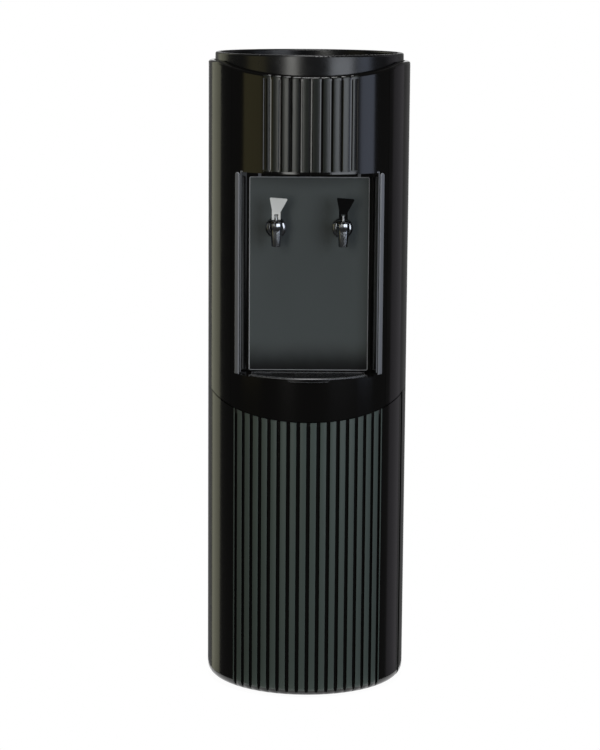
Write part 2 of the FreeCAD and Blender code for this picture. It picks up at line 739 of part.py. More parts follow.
def strip_bead(name, side):
    """An upright bead with rounded edges and a rounded upper end."""
    body = new_body(name)
    depth = "strip_proud + 3"
    sketch = new_sketch(body, name + "_face", "XZ_Plane", "body_radius + strip_proud - (%s)" % depth)
    polygon(sketch, [("-strip_width / 2", "strip_bottom"), ("strip_width / 2", "strip_bottom"),
                     ("strip_width / 2", "strip_top"), ("-strip_width / 2", "strip_top")])
    bar = pad(body, sketch, depth)
    top = value("strip_top")
    crowned = round_edges(body, bar, "strip_width / 2 - 0.05",
                          lambda line: line.BoundBox.ZMin > top - 0.01 and line.BoundBox.XLength < 0.01)
    front = value("body_radius + strip_proud")
    body.Tip = round_edges(body, crowned, "strip_round", lambda line: line.BoundBox.YMax < -front + 0.01)
    return turn(body, "%s * strip_angle" % side)


fascia_skin = common("fascia_skin", common("fascia_zone", skin, seam_dip("fascia_limit", True)),
                     wedge("fascia_slice", "-(%s)" % fascia_half, fascia_half,
                           "seam_front - 20", "side_top + 5"))
niche_case = common("niche_case",
                    niche_plan("niche_outside", "niche_back - niche_wall", "niche_back_half + niche_wall",
                               "niche_half + niche_wall", "niche_floor - ledge_deep",
                               "niche_top + niche_wall"),
                    rod("niche_bound", "body_radius - 1", 0, 0, "niche_floor - ledge_deep",
                        "niche_top + niche_wall - niche_floor + ledge_deep"))
niche_hollow = niche_plan("niche_hollow", "niche_back", "niche_back_half", "niche_half",
                          "niche_floor", "niche_top")
tray_well = tray_form("tray_well", "tray_rim_width - well_gap",
                      "niche_floor - tray_deep - well_gap", "niche_floor + 5")
upper_margin = top_dip("upper_flute_end", False, "-upper_flute_margin")
niche_flutes = flute_cutter("niche_flutes", "upper_flutes", "upper_flute_bottom", upper_margin)
edge_flutes = flute_cutter("edge_flutes", "2", "upper_flute_bottom", upper_margin, "2 * upper_edge_angle")
shank_holes = [rod("fascia_shank_hole", "shank_radius + shank_clear", "%s * faucet_spread" % side,
                   "-niche_back - 5", "shank_height", "niche_wall + 10", "y") for side in (-1, 1)]
fascia_body = cut("fascia_body", join("fascia_cased", fascia_skin, niche_case), niche_hollow, tray_well,
                  niche_flutes, edge_flutes, shank_holes[0], shank_holes[1])
flanges = []
for side in (-1, 1):
    ends = sorted(["%s * (fascia_angle - 3)" % side, "%s * (fascia_angle + flange_reach)" % side], key=value)
    roots = sorted(["%s * (fascia_angle - 3)" % side, "%s * (fascia_angle - 0.4)" % side], key=value)
    flanges.append(ring("fascia_flange", inner_radius + " - sleeve_fit", inner_radius + " - sleeve_thick",
                        "seam_side + 25", "collar_ledge - 12", ends[0], ends[1]))
    flanges.append(ring("fascia_flange_root", inner_radius + " + 1", inner_radius + " - sleeve_thick",
                        "seam_side + 25", "collar_ledge - 12", roots[0], roots[1]))
strips = [strip_bead("left_strip", -1), strip_bead("right_strip", 1)]
node(join("front_fascia_whole", fascia_body, *strips, *flanges), "front_fascia")

# ---- splash panel: a flat plate with a rounded border behind the faucets ----
panel_body = new_body("splash_plate")
panel_sketch = new_sketch(panel_body, "splash_outline", "XZ_Plane", "niche_back")
polygon(panel_sketch, [("-panel_half", "panel_bottom"), ("panel_half", "panel_bottom"),
                       ("panel_half", "panel_top"), ("-panel_half", "panel_top")])
panel_plate = pad(panel_body, panel_sketch, "panel_thick")
panel_corners = round_edges(panel_body, panel_plate, "panel_corner",
                            lambda line: line.BoundBox.YLength > value("panel_thick") / 2)
panel_face = -value("niche_back + panel_thick")
panel_body.Tip = round_edges(panel_body, panel_corners, "panel_edge",
                             lambda line: line.BoundBox.YMax < panel_face + 0.01)
panel_holes = [rod("panel_shank_hole", "shank_radius + shank_clear", "%s * faucet_spread" % side,
                   "-niche_back - panel_thick - 5", "shank_height", "panel_thick + 10", "y")
               for side in (-1, 1)]
node(cut("splash_panel_bored", panel_body, panel_holes[0], panel_holes[1]), "splash_panel")

# ---- drip tray and its grille ----
tray_bottom = "niche_floor - tray_deep"
rim_top = "niche_floor + tray_rim_thick"
grille_bottom = "niche_floor + tray_rim_thick - grille_thick - rest_gap - 0.2"
tray_rim = tray_form("tray_rim", "0", "niche_floor", rim_top + " - tray_bevel", "tray")
tray_rim_edge = tray_form("tray_rim_edge", "0", rim_top + " - tray_bevel", rim_top, "tray", " - tray_bevel")
tray_nose = cut("tray_nose",
                tray_form("tray_nose_form", "0", "niche_floor - lip_drop", "niche_floor", "tray"),
                rod("tray_nose_back", "body_radius + lip_gap", 0, 0, "niche_floor - lip_drop - 1",
                    "lip_drop + 1"))
tray_solid = join("tray_solid", tray_rim, tray_rim_edge, tray_nose,
                  tray_form("tray_tub", "tray_rim_width", tray_bottom, rim_top))
tray_hollow = tray_form("tray_hollow", "tray_rim_width + tray_wall", tray_bottom + " + tray_wall", rim_top)
tray_rebate = tray_form("tray_rebate", "tray_rim_width + tray_wall / 2", grille_bottom + " - rest_gap",
                        rim_top + " + 1")
node(cut("drip_tray_hollowed", tray_solid, tray_hollow, tray_rebate), "drip_tray")

grille_frame = "tray_rim_width + tray_wall / 2 + grille_gap"
slot_low, slot_high = grille_bottom + " - 1", grille_bottom + " + grille_thick + 1"
slot_rings = []
slot_centre = "well_bow - well_front"
slot_height = "grille_thick + 2"
for count in range(int(value("grille_slots"))):
    radius = "well_bow - (%s) - grille_border - %d * grille_pitch" % (grille_frame, count)
    outside = rod("slot_outside", radius, 0, slot_centre, slot_low, slot_height)
    inside = rod("slot_inside", radius + " - grille_slot", 0, slot_centre, slot_low, slot_height)
    slot_rings.append(cut("slot_ring", outside, inside))
slot_fields = []
for across in (-1, 0, 1):
    middle = "%s * 2 * grille_slot_half / 3" % across
    reach = "grille_slot_half / 3 - grille_bridge / 2"
    slot_fields.append(block("slot_field", middle + " - (" + reach + ")", middle + " + " + reach,
                             "-well_front", "-grille_slot_back", slot_low, slot_high))
grille_plate = tray_form("grille_plate", grille_frame, grille_bottom, grille_bottom + " + grille_thick")
node(cut("drip_grille_slotted", grille_plate,
         common("grille_slots_cut", join("slot_ring_set", *slot_rings),
                group("slot_field_set", slot_fields))),
     "drip_grille")

# ---- collar and lid on top ----
collar_foot = "collar_ledge + ledge_thick"
lid_top = "overall_height - lid_depth"
lid_underside = lid_top + " - lid_thick"
collar_bore = "collar_radius - collar_rim"
collar_body = new_body("collar_ring")
collar_sketch = new_sketch(collar_body, "collar_section", "XZ_Plane")
polygon(collar_sketch, [
    ("collar_radius - collar_wall", collar_foot),
    ("collar_radius", collar_foot),
    ("collar_radius", "overall_height"),
    (collar_bore, "overall_height"),
    (collar_bore, lid_underside + " - rest_gap"),
    (collar_bore + " - lid_seat", lid_underside + " - rest_gap"),
    (collar_bore + " - lid_seat", lid_underside + " - rest_gap - lid_thick"),
    ("collar_radius - collar_wall", lid_underside + " - rest_gap - lid_thick"),
])
collar_turned = revolve(collar_body, collar_sketch)
collar_level = value("overall_height")
collar_body.Tip = round_edges(collar_body, collar_turned, "collar_round",
                              lambda line: line.BoundBox.ZMin > collar_level - 0.01)
node(collar_body, "top_collar")

lid_body = new_body("lid_disc")
lid_sketch = new_sketch(lid_body, "lid_section", "XZ_Plane")
lid_edge = collar_bore + " - lid_gap"
polygon(lid_sketch, [
    ("0", lid_underside),
    (lid_edge, lid_underside),
    (lid_edge, lid_top),
    (lid_edge + " - 6", lid_top),
    (lid_edge + " - 9", lid_top + " - 1.2"),
    ("0", lid_top + " - 1.2"),
])
lid_turned = revolve(lid_body, lid_sketch)
notches = [rod("lid_notch", "notch_radius", "%s * (%s)" % (side, lid_edge), 0, lid_underside + " - 1",
               "lid_thick + 2") for side in (-1, 1)]
node(cut("top_lid_notched", lid_body, notches[0], notches[1]), "top_lid")

# ---- door: fluted front with a rolled edge round the hinge axis ----
hinge_x = "hinge_radius * sin(hinge_angle * 1 deg)"
hinge_y = "0 - hinge_radius * cos(hinge_angle * 1 deg)"
door_zone = common("door_zone", skin, seam_dip("door_limit", False, "-door_top_gap"))
door_skin = common("door_skin", door_zone,
                   wedge("door_slice", free_edge, "hinge_angle", "-1", "seam_side + 1"))
door_rebate = common("door_rebate",
                     seam_dip("door_rebate_limit", True, "-door_top_gap - door_rebate"),
                     rod("door_rebate_core", "body_radius - door_lip", 0, 0, "seam_front - 30",
                         "seam_side - seam_front + 60"))
barrel_high = "barrel_top - barrel_bottom"
barrel = rod("hinge_barrel", "barrel_radius", hinge_x, hinge_y, "barrel_bottom", barrel_high)
flange = bar("door_flange", free_edge, "0", "flange_thick", "skin_wall / 2 - body_radius",
             "skin_wall + flange_width - body_radius", "pan_top + 5", "deck_bottom - 12")
door_flutes = flute_cutter("door_flutes", "lower_flutes", "-5",
                           seam_dip("lower_flute_end", False, "-door_top_gap - lower_flute_margin"))
arm_relief = [rod("arm_relief", "hinge_clear", hinge_x, hinge_y, "-1", "barrel_bottom + 1"),
              rod("arm_relief", "hinge_clear", hinge_x, hinge_y, "barrel_top", "seam_side - barrel_top + 5")]
pin_bores = [rod("pin_bore", "pin_radius + pin_fit", hinge_x, hinge_y, start, "pin_length + 1.5")
             for start in ("barrel_bottom - 1", "barrel_top - pin_length - 0.5")]
door_whole = join("door_whole", cut("door_trimmed", door_skin, door_rebate), barrel, flange)
node(cut("lower_door_cut", door_whole, door_flutes, *arm_relief, *pin_bores), "lower_door")


def hinge(name, plate_z, pin_z):
    """A plate with a narrow arm to the hinge axis, and its pin."""
    top = plate_z + " + hinge_plate"
    plate = bar(name + "_plate", "hinge_angle", "-12", "12", "1 - pan_radius", "13 - pan_radius",
                plate_z, top)
    arm = bar(name + "_arm", "hinge_angle", "-hinge_arm", "hinge_arm", "-hinge_radius", "10 - pan_radius",
              plate_z, top)
    nose = rod(name + "_nose", "hinge_arm", hinge_x, hinge_y, plate_z, "hinge_plate")
    pin = rod(name + "_pin", "pin_radius", hinge_x, hinge_y, pin_z, "pin_length")
    return join(name + "_joined", plate, arm, nose, pin)


lower_plate_z = "pan_top"
upper_plate_z = "deck_bottom + deck_thick"
node(group("hinge_pair", [hinge("hinge_low", lower_plate_z, lower_plate_z + " + hinge_plate"),
                          hinge("hinge_high", upper_plate_z, upper_plate_z + " - pin_length")]),
     "hinge_brackets")

strike = bar("strike_bar", free_edge, "-strike_thick", "0", "skin_wall + 0.6 - body_radius",
             "skin_wall + flange_width - 0.4 - body_radius", "magnet_bottom", catch_z)
node(strike, "door_strike")
magnet = bar("magnet_bar", free_edge, magnet_face + " - magnet_thick", magnet_face,
             "skin_wall + 1 - body_radius", "skin_wall + 9 - body_radius", "magnet_bottom", catch_z)
node(magnet, "door_magnet")

# ---- base pan, feet, bottle platform and compartment ----
pan_bottom = "foot_height + skin_wall + pan_gap"
pan_body = new_body("pan_turned")
pan_sketch = new_sketch(pan_body, "pan_section", "XZ_Plane")
polygon(pan_sketch, [
    ("0", "pan_top - pan_wall"),
    ("pan_radius - pan_wall", "pan_top - pan_wall"),
    ("pan_radius - pan_wall", pan_bottom),
    ("pan_radius", pan_bottom),
    ("pan_radius", "pan_top"),
    ("0", "pan_top"),
])
revolve(pan_body, pan_sketch)
node(pan_body, "base_pan")
foot_angles = [45, 135, 225, 315]
feet = []
for foot_angle in foot_angles:
    foot_x = "foot_circle * sin(%d deg)" % foot_angle
    foot_y = "0 - foot_circle * cos(%d deg)" % foot_angle
    feet.append(cone("foot", "foot_radius - 2", "foot_radius", foot_x, foot_y, 0, "pan_top - pan_wall"))
node(group("feet_group", feet), "base_feet")

platform_body = new_body("platform_turned")
platform_sketch = new_sketch(platform_body, "platform_section", "XZ_Plane")
platform_top = "pan_top + platform_high"
polygon(platform_sketch, [
    ("0", "pan_top"),
    ("platform_radius", "pan_top"),
    ("platform_radius", platform_top + " - 3"),
    ("platform_radius - 3", platform_top),
    ("platform_radius - platform_rim", platform_top),
    ("platform_radius - platform_rim - 5", platform_top + " - platform_dish"),
    ("0", platform_top + " - platform_dish"),
])
revolve(platform_body, platform_sketch)
node(platform_body, "bottle_platform")

liner = ring("liner_wall_ring", "liner_radius", "liner_radius - liner_wall", "pan_top", "deck_bottom",
             "liner_angle", "360 - liner_angle")
node(liner, "compartment_liner")
deck_disc = rod("deck_disc", "deck_radius", 0, 0, "deck_bottom", "deck_thick")
deck_tabs = ring("deck_tabs", inner_radius + " - sleeve_thick - 0.4", "deck_radius - 1", "deck_bottom",
                 "deck_bottom + deck_thick", "door_angle + 8", "352 - door_angle")
hose_hole = rod("deck_hose_hole", "hose_radius + 2", "probe_x", "probe_y", "deck_bottom - 1",
                "deck_thick + 2")
node(cut("deck_holed", join("deck_joined", deck_disc, deck_tabs), hose_hole), "mid_deck")
deck_top = "deck_bottom + deck_thick"

# ---- faucets: body with threaded shank, rosette, nut, cap, stem and sprung paddle ----
rosettes, nuts, caps = [], [], []


def faucet(side, word):
    x = "%s * faucet_spread" % side
    y = "-faucet_front"
    high = "faucet_top - faucet_bottom"
    spout = cone(word + "_spout", "faucet_bottom_radius", "faucet_top_radius", x, y, "faucet_bottom", high)
    shank = rod(word + "_shank", "shank_radius", x, y, "shank_height", "faucet_front - shank_end", "y")
    facet = block(word + "_facet", x + " - 15", x + " + 15", y + " - 15",
                  y + " - faucet_top_radius + facet_depth", "faucet_bottom - 1", "faucet_top + 1")
    mouth = rod(word + "_mouth", "outlet_radius", x, y, "faucet_bottom - 1", "outlet_depth + 1")
    stem_bore = rod(word + "_stem_bore", "stem_radius + stem_clear", x, y, "stem_bottom - 1",
                    "faucet_top - stem_bottom + 2")
    water_way = rod(word + "_water_way", "shank_bore", x, "-shank_end - 30", "shank_height", "40", "y")
    node(cut(word + "_faucet_cut", join(word + "_faucet_joined", spout, shank), facet, mouth, stem_bore,
             water_way), word + "_faucet_body")

    face = "-niche_back - panel_thick"
    bore = "shank_radius + shank_clear"
    rosette = cone(word + "_rosette_cone", "rosette_radius - 3", "rosette_radius", x,
                   face + " - rosette_thick", "shank_height", "rosette_thick", "y")
    rosette_bore = rod(word + "_rosette_bore", bore, x, face + " - rosette_thick - 1", "shank_height",
                       "rosette_thick + 2", "y")
    rosettes.append(cut(word + "_rosette_bored", rosette, rosette_bore))

    prism = doc.addObject("Part::Prism", word + "_nut_prism")
    prism.Polygon = 6
    prism.Placement = FreeCAD.Placement(FreeCAD.Vector(), TURNS["y"])
    bind(prism, "Circumradius", "nut_radius")
    bind(prism, "Height", "nut_thick")
    place(prism, x, "niche_wall - niche_back", "shank_height")
    nut_bore = rod(word + "_nut_bore", bore, x, "niche_wall - niche_back - 1", "shank_height",
                   "nut_thick + 2", "y")
    nuts.append(cut(word + "_nut_bored", prism, nut_bore))

    cap = cone(word + "_cap_cone", "cap_radius", "cap_radius - 1.5", x, y, "faucet_top", "cap_high")
    cap_bore = rod(word + "_cap_bore", "stem_radius + stem_clear", x, y, "faucet_top - 1", "cap_high + 2")
    caps.append(cut(word + "_cap_bored", cap, cap_bore))

    stem = rod(word + "_stem_rod", "stem_radius", x, y, "stem_bottom", "stem_top - stem_bottom")
    stem_hole = rod(word + "_stem_hole", "lever_pin_radius + pin_fit", x + " - 10", y, "lever_pin_height",
                    "20", "x")
    node(cut(word + "_stem_holed", stem, stem_hole), word + "_faucet_stem")

    body = new_body(word + "_paddle")
    sketch = new_sketch(body, word + "_paddle_outline", "XZ_Plane", "faucet_front - lever_thick / 2")
    polygon(sketch, [
        (x + " - lever_fork", "lever_bottom"),
        (x + " - lever_slot", "lever_bottom"),
        (x + " - lever_slot", "lever_slot_top"),
        (x + " + lever_slot", "lever_slot_top"),
        (x + " + lever_slot", "lever_bottom"),
        (x + " + lever_fork", "lever_bottom"),
        (x + " + lever_fork", "lever_shoulder - 3"),
        (x + " + lever_flare_right", "lever_top_right"),
        (x + " - lever_flare_left", "lever_top_left"),
        (x + " - lever_fork", "lever_shoulder"),
    ])
    plate = pad(body, sketch, "lever_thick")
    doc.recompute()
    left_top, right_top = value("lever_top_left"), value("lever_top_right")
    body.Tip = round_edges(body, plate, "1.6", lambda line: line.BoundBox.YLength > 1
                           and (abs(line.BoundBox.ZMax - left_top) < 0.01
                                or abs(line.BoundBox.ZMax - right_top) < 0.01))
    heels = [block(word + "_heel", start, end, y + " - heel_thick / 2", y + " + heel_thick / 2",
                   "lever_bottom", "lever_bottom + heel_high")
             for start, end in ((x + " - lever_fork", x + " - lever_slot"),
                                (x + " + lever_slot", x + " + lever_fork"))]
    pin = rod(word + "_lever_pin_rod", "lever_pin_radius", x + " - lever_fork", y, "lever_pin_height",
              "2 * lever_fork", "x")
    node(join(word + "_lever_joined", body, heels[0], heels[1], pin), word + "_faucet_lever")


faucet(-1, "left")
faucet(1, "right")
node(group("rosette_pair", rosettes), "faucet_rosettes")
node(group("nut_pair", nuts), "shank_nuts")
node(group("cap_pair", caps), "faucet_caps")

# ---- cold tank, hot tank, pump and compressor ----
sleeve_radius = "tank_radius + sleeve_wall"
foam_radius = "tank_radius + sleeve_wall + foam_wall"
tank_base = "tank_floor + foam_wall"
tank_top = "tank_floor + tank_high - foam_wall"
tank_length = "tank_high - 2 * foam_wall"
foam_block = rod("foam_block", foam_radius, 0, "tank_y", "tank_floor", "tank_high")
foam_room = rod("foam_room", sleeve_radius + " + rest_gap", 0, "tank_y", tank_base + " - rest_gap",
                "tank_high - 2 * foam_wall + 2 * rest_gap")
line_back = "rear_flat - 12"
cold_x, cold_front = "-30", "tank_y - 30"
feed_x, feed_y = "34", "tank_y + 24"
fill_x, fill_y = "20", "tank_y - 20"
port = "tube_radius + 0.4"
port_low = "tank_floor - 1"
port_length = "foam_wall + 0.8"
foam_ports = [rod("foam_port", port, cold_x, cold_front, port_low, port_length),
              rod("foam_port", port, feed_x, feed_y, port_low, port_length),
              rod("foam_port", port, fill_x, fill_y, tank_top, "foam_wall + 1"),
              rod("foam_port", "line_radius + 0.4", 0, "tank_y + tank_radius", "line_height", "40", "y"),
              rod("foam_port", "capillary_radius + 0.4", "tank_radius", "tank_y", "capillary_height",
                  "40", "x")]
node(cut("foam_cut", foam_block, foam_room, *foam_ports), "tank_insulation")
cold_can = rod("cold_tank_can", "tank_radius", 0, "tank_y", tank_base, tank_length)
cold_room = rod("cold_tank_room", "tank_radius - tank_wall", 0, "tank_y", tank_base + " + tank_wall",
                "%s - 2 * tank_wall" % tank_length)
cold_ports = [rod("cold_port", "port_radius", cold_x, cold_front, tank_base + " - 1", "tank_wall + 2"),
              rod("cold_port", "port_radius", feed_x, feed_y, tank_base + " - 1", "tank_wall + 2"),
              rod("cold_port", "port_radius", fill_x, fill_y, tank_top + " - tank_wall - 1", "tank_wall + 2")]
node(cut("cold_tank_cut", cold_can, cold_room, *cold_ports), "cold_tank")
sleeve_outer = rod("sleeve_outer", sleeve_radius, 0, "tank_y", tank_base + " + 4", tank_length + " - 8")
sleeve_inner = rod("sleeve_inner", "tank_radius + sleeve_fit", 0, "tank_y", tank_base + " + 3",
                   tank_length + " - 6")
node(cut("sleeve_cut", sleeve_outer, sleeve_inner), "evaporator_sleeve")

plate = block("bracket_plate", "-bracket_half", "bracket_half", "-bracket_front", "rear_flat",
              "tank_floor - bracket_thick", "tank_floor")
plate_back = block("bracket_back", "-bracket_half", "bracket_half", "rear_flat - bracket_thick", "rear_flat",
                   "tank_floor - bracket_thick", "tank_floor + bracket_flange")
bracket_ends = ("-bracket_half", "bracket_half - bracket_thick")
plate_sides = [block("bracket_side", side, side + " + bracket_thick", "-bracket_front", "rear_flat",
                     "tank_floor - 15", "tank_floor") for side in bracket_ends]
bracket_ports = [rod("bracket_port", "tube_radius + 1", across, forward, "tank_floor - 20", "40")
                 for across, forward in ((cold_x, cold_front), (feed_x, feed_y), ("0", line_back))]
node(cut("bracket_cut", join("bracket_joined", plate, plate_back, *plate_sides), *bracket_ports),
     "tank_bracket")
posts = [rod("post", "post_radius", "%s * post_x" % side, "-post_y", deck_top,
             "tank_floor - bracket_thick - (%s)" % deck_top) for side in (-1, 1)]
node(group("post_pair", posts), "support_posts")

shell_bottom = deck_top + " + grommet_high"
compressor_body = new_body("compressor_shell")
compressor_sketch = new_sketch(compressor_body, "compressor_section", "XZ_Plane")
dome = "compressor_dome"
seam_mid = shell_bottom + " + compressor_high / 2"
polygon(compressor_sketch, [
    ("0", shell_bottom),
    ("compressor_radius - 16", shell_bottom),
    ("compressor_radius - 3", shell_bottom + " + compressor_dome"),
    ("compressor_radius - 3", seam_mid + " - 3"),
    ("compressor_radius", seam_mid + " - 3"),
    ("compressor_radius", seam_mid + " + 3"),
    ("compressor_radius - 3", seam_mid + " + 3"),
    ("compressor_radius - 3", shell_bottom + " + compressor_high - compressor_dome"),
    ("compressor_radius - 20", shell_bottom + " + compressor_high"),
    ("0", shell_bottom + " + compressor_high"),
])
revolve(compressor_body, compressor_sketch)
place(compressor_body, "compressor_x", "compressor_y", 0)
mount_reach = "compressor_radius - 10"
mount_feet = block("compressor_feet", "compressor_x - (%s)" % mount_reach,
                   "compressor_x + (%s)" % mount_reach, "compressor_y - (%s)" % mount_reach,
                   "compressor_y + (%s)" % mount_reach, shell_bottom, shell_bottom + " + 3")
node(join("compressor_joined", compressor_body, mount_feet), "compressor")
grommets = [rod("grommet", "grommet_radius", "compressor_x + %s * (compressor_radius - 20)" % across,
                "compressor_y + %s * (compressor_radius - 20)" % forward, deck_top, "grommet_high")
            for across in (-1, 1) for forward in (-1, 1)]
node(group("grommet_set", grommets), "compressor_grommets")

stand_top = deck_top + " + hot_stand"
drain_start = stand_top + " + 15"
hot_can = rod("hot_can", "hot_radius", "hot_x", "hot_y", stand_top, "hot_high")
hot_room = rod("hot_room", "hot_radius - tank_wall", "hot_x", "hot_y", stand_top + " + tank_wall",
               "hot_high - 2 * tank_wall")
hot_lid = stand_top + " + hot_high - tank_wall - 1"
hot_ports = [rod("hot_port", "port_radius", "hot_x - 12", "hot_y + 8", hot_lid, "tank_wall + 2"),
             rod("hot_port", "port_radius", "hot_x + 10", "hot_y - 12", hot_lid, "tank_wall + 2"),
             rod("hot_port", "port_radius", "hot_x", "hot_y + hot_radius - tank_wall - 1", drain_start,
                 "tank_wall + 2", "y")]
node(cut("hot_tank_cut", hot_can, hot_room, *hot_ports), "hot_tank")
node(cut("jacket_cut",
         rod("jacket_outer", "hot_radius + hot_foam", "hot_x", "hot_y", deck_top, "hot_high + hot_stand"),
         rod("jacket_inner", "hot_radius + 0.05", "hot_x", "hot_y", stand_top + " - 1", "hot_high + 2"),
         rod("jacket_port", "tube_radius + 0.4", "hot_x", "hot_y + hot_radius - 2", drain_start,
             "hot_foam + 4", "y")),
     "hot_tank_jacket")

pump_motor = rod("pump_motor", "pump_radius", "pump_x", "-pump_y", deck_top, "pump_high")
pump_top = deck_top + " + pump_high"
pump_head = block("pump_head_block", "pump_x - pump_head", "pump_x + pump_head", "-pump_y - pump_head",
                  "-pump_y + pump_head", pump_top, pump_top + " + pump_head_high")
node(join("pump_joined", pump_motor, pump_head), "water_pump")

# ---- bottle probe, its holder and the hose up to the deck ----
cap_bottom = "probe_collar"
cap_top = "probe_collar + probe_cap_high"
probe_rod = rod("probe_rod", "probe_radius", "probe_x", "probe_y", "probe_bottom",
                "probe_collar - probe_bottom + 1")
probe_cap = cone("probe_cap_cone", "probe_cap", "probe_cap - 4", "probe_x", "probe_y", cap_bottom,
                 "probe_cap_high")
probe_neck = rod("probe_neck", "hose_radius", "probe_x", "probe_y", cap_top + " - 1", "9")
node(join("probe_joined", probe_rod, probe_cap, probe_neck), "bottle_probe")
holder_plate = cut("holder_cut",
                   rod("holder_disc", "probe_cap - 4", "probe_x", "probe_y",
                       "probe_collar - rest_gap - holder_thick", "holder_thick"),
                   rod("holder_bore", "probe_radius + 1.5", "probe_x", "probe_y",
                       "probe_collar - holder_thick - 5", "holder_thick + 10"))
holder_arm = common("holder_arm",
                    block("holder_arm_bar", "probe_x - 62", "probe_x - probe_radius - 4", "probe_y - 9",
                          "probe_y + 9", "probe_collar - rest_gap - holder_thick", "probe_collar - rest_gap"),
                    rod("holder_bound", "liner_radius - liner_wall - rest_gap", 0, 0,
                         "probe_collar - 20", "40"))
node(join("holder_joined", holder_plate, holder_arm), "probe_holder")

hub_top = deck_top + " + 11"
fitting = join("fitting_joined",
               rod("fitting_collar", "probe_radius + 4", "probe_x", "probe_y", "deck_bottom - 8", "8"),
               rod("fitting_spigot", "hose_radius + 1.8", "probe_x", "probe_y", "deck_bottom - 1",
                   "deck_thick + 2"),
               rod("fitting_hub", "probe_radius + 2", "probe_x", "probe_y", deck_top, "11"))
node(fitting, "hose_fitting")
node(rod("hose_run", "hose_radius", "probe_x", "probe_y", cap_top + " + 8",
         "deck_bottom - 8 - (%s) - 8" % cap_top), "bottle_hose")

# ---- water tubes ----
shank_inner = "-shank_end"
low_run = deck_top + " + 6"
pump_side = pump_top + " + pump_head_high / 2"
over_foam = "tank_floor + tank_high + 12"
hot_top = stand_top + " + hot_high"
node(tube("suction_run", "tube_radius", [
    ("probe_x", "probe_y - probe_radius - 2", low_run),
    ("probe_x", "-pump_y", low_run),
    ("-pump_y + 14", "-pump_y", low_run),
    ("-pump_y + 14", "-pump_y", pump_side),
    ("pump_x - pump_head", "-pump_y", pump_side),
], "14"), "pump_suction_tube")
node(tube("fill_run", "tube_radius", [
    ("pump_x", "-pump_y", pump_top + " + pump_head_high"),
    ("pump_x", "-pump_y", pump_top + " + pump_head_high + 24"),
    ("pump_x", "-tank_front_run", pump_top + " + pump_head_high + 48"),
    ("pump_x", "-tank_front_run", over_foam),
    (fill_x, fill_y, over_foam),
    (fill_x, fill_y, tank_top),
], "14"), "tank_fill_tube")
node(tube("cold_run", "tube_radius", [
    (cold_x, cold_front, tank_base),
    (cold_x, cold_front, "shank_height"),
    ("-faucet_spread", shank_inner + " + 25", "shank_height"),
    ("-faucet_spread", shank_inner, "shank_height"),
], "12"), "cold_outlet_tube")
node(tube("feed_run", "tube_radius", [
    (feed_x, feed_y, tank_base),
    (feed_x, feed_y, hot_top + " + 65"),
    ("hot_x - 12", "hot_y + 8", hot_top + " + 35"),
    ("hot_x - 12", "hot_y + 8", hot_top),
], "14"), "hot_feed_tube")
node(tube("hot_run", "tube_radius", [
    ("hot_x + 10", "hot_y - 12", hot_top),
    ("hot_x + 10", "hot_y - 12", hot_top + " + 90"),
    ("faucet_spread", shank_inner + " + 30", "shank_height"),
    ("faucet_spread", shank_inner, "shank_height"),
], "14"), "hot_outlet_tube")
node(tube("drain_run", "tube_radius", [
    ("hot_x", "hot_y + hot_radius", drain_start),
    ("hot_x", "hot_y + hot_radius + 24", drain_start),
    ("drain_x", "rear_flat - 24", "drain_z"),
    ("drain_x", "rear_flat - 9", "drain_z"),
], "10"), "drain_tube")

# ---- rear panel, condenser and refrigerant lines ----
panel_face = "rear_flat + sheet_thick"
rear_plate = block("rear_plate", "-rear_half", "rear_half", "rear_flat", panel_face, "window_bottom",
                   "window_top")
segment_zone = block("segment_zone", "-body_radius", "body_radius", "rear_flat", "body_radius",
                     "window_bottom", "window_top")
segments = []
for start in ("window_bottom", "window_top - sheet_thick"):
    disc = rod("segment_disc", "body_radius - 0.5", 0, 0, start, "sheet_thick")
    segments.append(common("segment", segment_zone, disc))
coil_y = "rear_flat + sheet_thick + coil_stand"
coil_top = "coil_bottom + 2 * coil_bend * (coil_runs - 1)"
coil_end = "coil_half + 6"
line_y = line_back
switch_x = ["box_x - switch_spread", "box_x + switch_spread"]
shaft = "switch_half + switch_wall"
window_low, window_high = "rear_flat - 5", "rear_flat + 5"
panel_windows = []
for across in switch_x:
    reach = "(" + shaft + " + rest_gap)"
    panel_windows.append(block("switch_window", across + " - " + reach, across + " + " + reach,
                               window_low, window_high, "switch_z - switch_high - switch_wall - rest_gap",
                               "switch_z + switch_high + switch_wall + rest_gap"))
panel_windows.append(block("inlet_window", "box_x - inlet_half - rest_gap", "box_x + inlet_half + rest_gap",
                           window_low, window_high, "inlet_z - inlet_high - rest_gap",
                           "inlet_z + inlet_high + rest_gap"))
panel_windows.append(rod("drain_window", "drain_spigot + rest_gap", "drain_x", window_low, "drain_z",
                         "10", "y"))
panel_windows.append(rod("coil_window", "coil_radius + 2", "0 - (%s)" % coil_end, window_low, "coil_bottom",
                         "10", "y"))
panel_windows.append(rod("coil_window", "coil_radius + 2", coil_end, window_low, coil_top, "10", "y"))
for side in (-1, 1):
    for height in screw_heights:
        panel_windows.append(rod("screw_window", "screw_shank + rest_gap", "%s * screw_x" % side, window_low,
                                 height, "10", "y"))
rear_whole = join("rear_panel_joined", rear_plate, *segments)
node(cut("rear_panel_cut", rear_whole, *panel_windows), "rear_panel")

